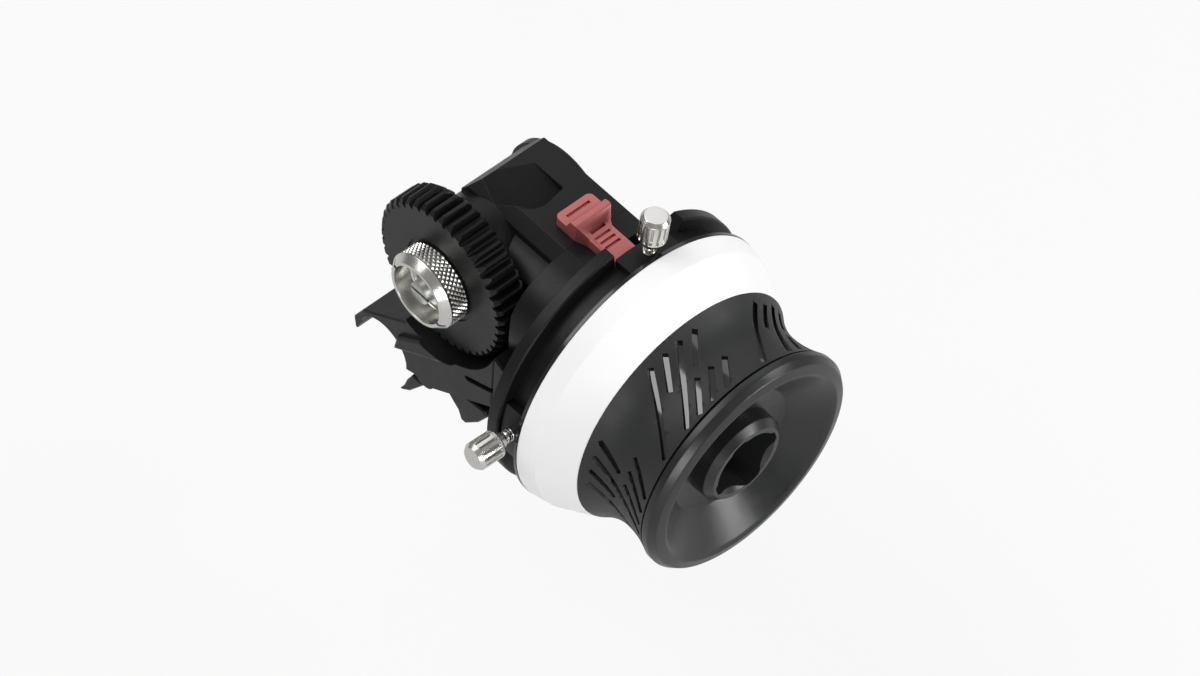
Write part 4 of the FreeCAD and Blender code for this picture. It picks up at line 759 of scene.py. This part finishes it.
def box_tool(size, place, turn=Matrix()):
    """A plain box of a size in millimetres, turned and then put at the place."""
    shape = bmesh.new()
    bmesh.ops.create_cube(shape, size=1)
    mesh = bpy.data.meshes.new("box")
    shape.to_mesh(mesh)
    shape.free()
    mesh.transform(Matrix.Translation(Vector(place) * MM) @ turn @ Matrix.Diagonal((*(Vector(size) * MM), 1)))
    return linked("box", mesh)


print("helpers: carved, box_tool")

# %% [markdown]
# ### Knurl
# A diamond knurl is rolled into the nut: two sets of crossing grooves leave small pyramids.  A bump
# map would look flat at the nut's outline, so the pyramids are real.  The tree sets them in rows round
# a cylinder, each row half a step on from the last.

# %% knurl tree


def make_knurl():
    tree, source, sink = geometry_tree("knurl", (
        ("Around", COUNT, 60), ("Rows", COUNT, 6), ("Row step", FLOAT, 0.00062), ("Radius", FLOAT, 0.0083),
        ("Rise", FLOAT, 0.0003), ("Material", MATERIAL, None)))
    total = maths(tree, "MULTIPLY", source["Around"], source["Rows"])
    index = tree.nodes.new("GeometryNodeInputIndex").outputs[0]
    row = maths(tree, "FLOOR", maths(tree, "DIVIDE", index, source["Around"]))
    half_step = maths(tree, "MULTIPLY", maths(tree, "MODULO", row, 2.0), 0.5)
    step = maths(tree, "DIVIDE", 2 * math.pi, source["Around"])
    angle = maths(tree, "MULTIPLY", maths(tree, "ADD", index, half_step), step)
    cosine, sine = maths(tree, "COSINE", angle), maths(tree, "SINE", angle)
    outward = node_of(tree, "ShaderNodeCombineXYZ", X=cosine, Y=sine)
    place = node_of(tree, "ShaderNodeCombineXYZ", X=maths(tree, "MULTIPLY", cosine, source["Radius"]),
                    Y=maths(tree, "MULTIPLY", sine, source["Radius"]),
                    Z=maths(tree, "MULTIPLY", row, source["Row step"]))
    points = node_of(tree, "GeometryNodePoints", Count=total, Position=place.outputs[0])
    stand = tree.nodes.new("FunctionNodeAxesToRotation")
    stand.primary_axis, stand.secondary_axis = "Z", "X"
    tree.links.new(outward.outputs[0], stand.inputs[0])
    stand.inputs[1].default_value = (0, 0, 1)
    pyramid = node_of(tree, "GeometryNodeMeshCone", Vertices=4, Radius_Top=0.0, Radius_Bottom=1.0, Depth=1.0)
    width = maths(tree, "MULTIPLY", maths(tree, "MULTIPLY", step, source["Radius"]), 0.5)
    size = node_of(tree, "ShaderNodeCombineXYZ", X=source["Row step"], Y=width, Z=source["Rise"])
    copies = node_of(tree, "GeometryNodeInstanceOnPoints", Points=points.outputs[0],
                     Instance=pyramid.outputs["Mesh"], Rotation=stand.outputs[0], Scale=size.outputs[0])
    close_tree(tree, copies.outputs[0], source, sink)
    return tree


KNURL = make_knurl()
print("tree:", KNURL.name)

# %% [markdown]
# ### The knurled nut
# The nut is a deep, nickel-plated cup.  Its back two thirds are knurled for the fingers, a
# polished cone leads to a narrow bright lip, and a notch across the lip takes a coin.  The cup is
# turned, and a Boolean modifier mills the notch.

# %% nut
NUT_FRONT, NUT_BACK = span("gear_nut", 1)
NOTCH_SIZE, NOTCH_TURN = (24, 2.4, 0.8), 24
KNURL_START = NUT_FRONT + 2.5
nut = turned("nut_skin", (
    (NUT_BACK, 3.5, 0), (NUT_BACK, 7.9, 0.1), (NUT_BACK - 0.4, 8.3, 0.1), (NUT_FRONT + 1.95, 8.3, 0),
    (NUT_FRONT + 1.8, 8.6, 0.05), (NUT_FRONT + 1.6, 8.6, 0.15), (NUT_FRONT, 7.3, 0.12),
    (NUT_FRONT, 6.6, 0.12), (NUT_BACK - 2.2, 6.2, 0.5), (NUT_BACK - 2.2, 3.5, 0),
), GEAR_AXIS, Y_AXIS, steps=180)
notch = box_tool(NOTCH_SIZE, (GEAR_AXIS.x, NUT_FRONT, GEAR_AXIS.z),
                 Matrix.Rotation(math.radians(NOTCH_TURN), 4, "Y"))
fitted(carved(nut, notch), "nut", "nickel_plate", instead=("gear_nut",))
knurl = grown(linked("nut_knurl", bpy.data.meshes.new("knurl")), KNURL, {
    "Around": 46, "Rows": 6, "Radius": 8.2 * MM, "Rise": 0.45 * MM, "Row step": 0.62 * MM,
    "Material": FINISHES["nickel_plate"]})
carried(knurl, GEAR_AXIS + Y_AXIS * KNURL_START, Y_AXIS)
fitted(knurl, "nut", "nickel_plate")

# %% [markdown]
# ### Threads and coils
# A screw thread and a coil spring are one form: a small section carried along a helix.  The tree
# takes the helix's turns, height and radius and the thickness of the section.  A Screw modifier
# makes coils too, but the tree also closes their ends.

# %% helix tree
STEPS_PER_TURN = 40


def make_helix():
    tree, source, sink = geometry_tree("helix", (
        ("Turns", FLOAT, 6.0), ("Height", FLOAT, 0.005), ("Radius", FLOAT, 0.001), ("Wire", FLOAT, 0.0002),
        ("Section", COUNT, 8), ("Material", MATERIAL, None)))
    line = node_of(tree, "GeometryNodeCurveSpiral", Resolution=STEPS_PER_TURN, Rotations=source["Turns"],
                   Start_Radius=source["Radius"], End_Radius=source["Radius"], Height=source["Height"])
    section = node_of(tree, "GeometryNodeCurvePrimitiveCircle", Resolution=source["Section"],
                      Radius=source["Wire"])
    tube = node_of(tree, "GeometryNodeCurveToMesh", Curve=line.outputs[0],
                   Profile_Curve=section.outputs[0], Fill_Caps=True)
    close_tree(tree, tube.outputs[0], source, sink)
    return tree


HELIX = make_helix()
print("tree:", HELIX.name)

# %% a fitted helix


def helix(name, start, axis, turns, height, radius, wire, body, slot, section=8, instead=()):
    """A helix from its start in millimetres, fitted to its body."""
    coil = grown(linked(name, bpy.data.meshes.new(name)), HELIX, {
        "Turns": turns, "Height": height * MM, "Radius": radius * MM, "Wire": wire * MM,
        "Section": section, "Material": FINISHES[slot]})
    softened(carried(coil, start, axis), 50)
    return fitted(coil, body, slot, instead)


print("helper: helix")

# %% [markdown]
# ### The stud in the nut
# The gear's shaft ends as a threaded stud.  Its tip is turned down by taking a ring of waste off a
# welded copy, and a fine helix on the tip is the thread.

# %% stud
STUD_END = span("gear_shaft", 1)[0]
STUD_TIP, TIP_LENGTH = 2.5, 2.2     # radius and length of the tip
STUD_TURNS, STUD_WIRE = 4, 0.12
waste = turned("waste", (
    (STUD_END - 1, STUD_TIP, 0), (STUD_END - 1, 4.0, 0), (STUD_END + TIP_LENGTH, 4.0, 0),
    (STUD_END + TIP_LENGTH, STUD_TIP, 0),
), GEAR_AXIS, Y_AXIS, steps=64)
fitted(carved(welded("gear_shaft"), waste), "gear_train", "satin_steel", instead=("gear_shaft",))
helix("stud_thread", GEAR_AXIS + Y_AXIS * (STUD_END + 0.35), Y_AXIS, STUD_TURNS, TIP_LENGTH - 0.6,
      STUD_TIP - 0.03, STUD_WIRE, "gear_train", "satin_steel", section=4)

# %% [markdown]
# ### Springs
# One spring shuts the clamp's jaw and one returns the latch. The CAD model has them as plain sleeves,
# so each coil gets the length and the outer radius of its sleeve.

# %% springs


def spring(node, axis, turns, wire):
    """The coil of a spring that the CAD model has as a plain sleeve.  Wire is the wire's radius."""
    low, high = (Vector(corner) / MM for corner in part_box(node))
    length, outer = (high - low).dot(axis), min(high - low) / 2
    start = (low + high) / 2 - axis * (length / 2 - wire)
    return helix(node + "_coil", start, axis, turns, length - 2 * wire, outer - wire, wire,
                 "gearbox", "spring_steel", instead=(node,))


spring("jaw_spring", Y_AXIS, 7, 0.45)
latch_coil = spring("latch_spring", X_AXIS, 7, 0.25)
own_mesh(latch_coil)

# %% [markdown]
# ### Fluted thumbscrews
# The two stops are set by small nickel thumbscrews.  The head is turned first; a tree then presses
# fourteen flutes with rounded ends into it, deepest at their middle.  A Boolean with fourteen cutters
# would do it too, but moving the points of a finely turned head keeps clean, even faces.  A collar and
# a thread show below the head.

# %% flute tree
FLUTE_LAND = 0.35      # how high the wave has to be, from 0 to 1, before a flute begins
END_SLOPE = 3000.0     # a flute's end takes 1/3000 m, a third of a millimetre


def make_flutes():
    tree, source, sink = geometry_tree("flutes", (
        ("Around", COUNT, 14), ("Depth", FLOAT, 0.0003), ("Start", FLOAT, 0.0), ("End", FLOAT, 0.005),
        ("Material", MATERIAL, None)))
    position = tree.nodes.new("GeometryNodeInputPosition").outputs[0]
    x, y, z = node_of(tree, "ShaderNodeSeparateXYZ", Vector=position).outputs
    angle = maths(tree, "ARCTAN2", y, x)
    wave = maths(tree, "COSINE", maths(tree, "MULTIPLY", angle, source["Around"]))
    above_land = maths(tree, "MAXIMUM", maths(tree, "SUBTRACT", wave, FLUTE_LAND), 0.0)
    groove = maths(tree, "POWER", maths(tree, "DIVIDE", above_land, 1 - FLUTE_LAND), 0.5)
    past_start = maths(tree, "MULTIPLY", maths(tree, "SUBTRACT", z, source["Start"]), END_SLOPE)
    past_end = maths(tree, "MULTIPLY", maths(tree, "SUBTRACT", source["End"], z), END_SLOPE)
    within = maths(tree, "MINIMUM", maths(tree, "MINIMUM", past_start, past_end), 1.0)
    inside = maths(tree, "SQRT", maths(tree, "MAXIMUM", within, 0.0))
    depth = maths(tree, "MULTIPLY", maths(tree, "MULTIPLY", groove, inside), source["Depth"])
    radius = maths(tree, "SQRT", maths(tree, "ADD", maths(tree, "MULTIPLY", x, x),
                                       maths(tree, "MULTIPLY", y, y)))
    share = maths(tree, "SUBTRACT", 1.0, maths(tree, "DIVIDE", depth, radius))
    moved = node_of(tree, "ShaderNodeCombineXYZ", X=maths(tree, "MULTIPLY", x, share),
                    Y=maths(tree, "MULTIPLY", y, share), Z=z)
    pressed = node_of(tree, "GeometryNodeSetPosition", Geometry=source["Geometry"],
                      Position=moved.outputs[0])
    close_tree(tree, pressed.outputs[0], source, sink)
    return tree


FLUTES = make_flutes()
print("tree:", FLUTES.name)

# %% thumbscrews
TIP, COLLAR, HEAD, TOP = 28.56, 32.62, 34.02, 40.21         # mm from the wheel's axis
SHANK_RADIUS, COLLAR_RADIUS, HEAD_RADIUS = 1.15, 1.7, 2.9
FOOT_RADIUS, CROWN_RADIUS = 2.45, 2.3                       # of the head's two flat ends
HEAD_RINGS, RING_STEP = 42, 0.12                            # rings that the flutes can move
FLUTE_DEPTH = 0.65


def thumbscrew(letter):
    node = "stop_%s_thumbscrew" % letter
    body = "stop_%s_screw" % letter
    joint = JOINTS["stop_%s_screw_turn" % letter]
    axis = Vector(joint["axis"])
    root = Vector((joint["pos_m"][0] / MM, WHEEL_AXIS.y, WHEEL_AXIS.z))
    grip = [(HEAD + 0.45 + RING_STEP * step, HEAD_RADIUS, 0) for step in range(HEAD_RINGS)]
    head = turned(node + "_skin", [
        (TIP, 0, 0), (TIP, SHANK_RADIUS, 0.1), (COLLAR, SHANK_RADIUS, 0), (COLLAR, COLLAR_RADIUS, 0.1),
        (HEAD, COLLAR_RADIUS, 0), (HEAD, FOOT_RADIUS, 0.1), *grip, (TOP - 0.75, HEAD_RADIUS, 0.15),
        (TOP, CROWN_RADIUS, 0.15), (TOP, 0, 0),
    ], Vector(), Z_AXIS, steps=280)
    grown(head, FLUTES, {"Depth": FLUTE_DEPTH * MM, "Start": (HEAD + 0.75) * MM, "End": (TOP - 1.1) * MM,
                         "Material": FINISHES["nickel_plate"]})
    softened(carried(head, root, axis), 35)
    fitted(head, body, "nickel_plate", instead=(node,))
    helix(node + "_thread", root + axis * (TIP + 0.3), axis, 7.5, COLLAR - TIP - 0.6, 1.12, 0.18,
          body, "nickel_plate", 4)


for letter in "ab":
    thumbscrew(letter)

# %% [markdown]
# ### The latch
# The red latch is milled and then tumbled, so that its outer edges are soft to the thumb while the
# grip slots stay crisp.  Bevelling every edge would blur the slots.  So the flat faces of a welded copy
# are merged, each sharp edge that stands out gets a bevel weight unless it belongs to a slot, and a
# Bevel modifier rounds the edges by that weight.

# %% latch
LATCH_MIDDLE = sum(span("latch_slide", 1)) / 2
SLOT_HALF, SLOTS_END = 3.05, 41.0       # half the slots' length along Y, and the last slot's place in X
LATCH_EDGE, LATCH_SHARP = 0.7, 35       # width of the bevel in mm, and the angle that counts as sharp


def tumbled(node, radius, is_slot):
    """A welded copy with its outer sharp edges rounded, apart from those that is_slot picks."""
    copy = welded(node)
    shape = bmesh.new()
    shape.from_mesh(copy.data)
    bmesh.ops.dissolve_limit(shape, angle_limit=math.radians(1), verts=shape.verts, edges=shape.edges)
    weight = shape.edges.layers.float.new("bevel_weight_edge")
    for edge in shape.edges:
        sharp = edge.is_convex and edge.calc_face_angle(0) > math.radians(LATCH_SHARP)
        edge[weight] = float(sharp and not any(is_slot(vertex.co / MM) for vertex in edge.verts))
    shape.to_mesh(copy.data)
    shape.free()
    bevel = copy.modifiers.new("edges", "BEVEL")
    bevel.limit_method = "WEIGHT"
    bevel.width = radius * MM
    bevel.segments = 4
    result = evaluated(copy)
    copy.modifiers.clear()
    copy.data = result
    return softened(copy, 25)


def in_latch_slots(place):
    return abs(place.y - LATCH_MIDDLE) < SLOT_HALF and place.x < SLOTS_END


latch = tumbled("latch_slide", LATCH_EDGE, in_latch_slots)
fitted(latch, "latch", "red_anodised", instead=("latch_slide",))

# %% [markdown]
# ### Socket screws
# The screws in the rear cap, in the collar and in the hub are socket screws.  Their bodies are the
# CAD solids; a hexagonal key socket is cut into every head.  A node may hold several screws, so they
# are told apart first, by walking from point to point along the edges.

# %% find the screws in a mesh


def islands(mesh):
    """The separate solids of a mesh, each as its lowest and highest corner in millimetres.  They are
    sorted, because a set hands out its points in a different order each time."""
    shape = bmesh.new()
    shape.from_mesh(mesh)
    bmesh.ops.remove_doubles(shape, verts=shape.verts, dist=1e-7)
    left, boxes = set(shape.verts), []
    while left:
        reached, seen = [left.pop()], []
        while reached:
            vertex = reached.pop()
            seen.append(vertex.co / MM)
            near = {link.other_vert(vertex) for link in vertex.link_edges} & left
            left -= near
            reached.extend(near)
        boxes.append([Vector(map(limit, zip(*seen))) for limit in (min, max)])
    shape.free()
    return sorted(boxes, key=lambda corners: tuple(corners[0]))


print("rear cap screws found:", len(islands(NODES["rear_cap_screws"].data)))

# %% key sockets


def key_tool(place, axis, across, depth):
    """A six-sided plug that reaches the depth below the place."""
    shape = bmesh.new()
    radius = across / 2 / math.cos(math.pi / 6)
    bmesh.ops.create_cone(shape, cap_ends=True, segments=6, radius1=radius * MM, radius2=radius * MM,
                          depth=2 * depth * MM)
    mesh = bpy.data.meshes.new("key")
    shape.to_mesh(mesh)
    shape.free()
    return carried(linked("key", mesh), place, axis)


def socketed(node, body, axis, across, depth):
    """A welded copy of a screw node with a key socket in every head."""
    axis = Vector(axis)
    copy = welded(node)
    keys = []
    for low, high in islands(copy.data):
        middle, half = (low + high) / 2, (high - low) / 2
        top = middle + axis * abs(half.dot(axis))
        keys.append(key_tool(top, axis, across, depth))
    return fitted(carved(copy, *keys), body, "black_screw", instead=(node,))


socketed("rear_cap_screws", "gearbox", Y_AXIS, 1.5, 0.9)
socketed("collar_screws", "gearbox", X_AXIS, 2.0, 1.2)
socketed("hub_screw", "handwheel", X_AXIS, 2.5, 1.4)

# %% [markdown]
# ## Close
# The box of the CAD model is printed in millimetres. The finishes and the added pieces are meant to stay inside
# it.

# %% close
print("CAD box in mm:", [tuple(round(side / MM, 2) for side in corner) for corner in CAD_BOX])
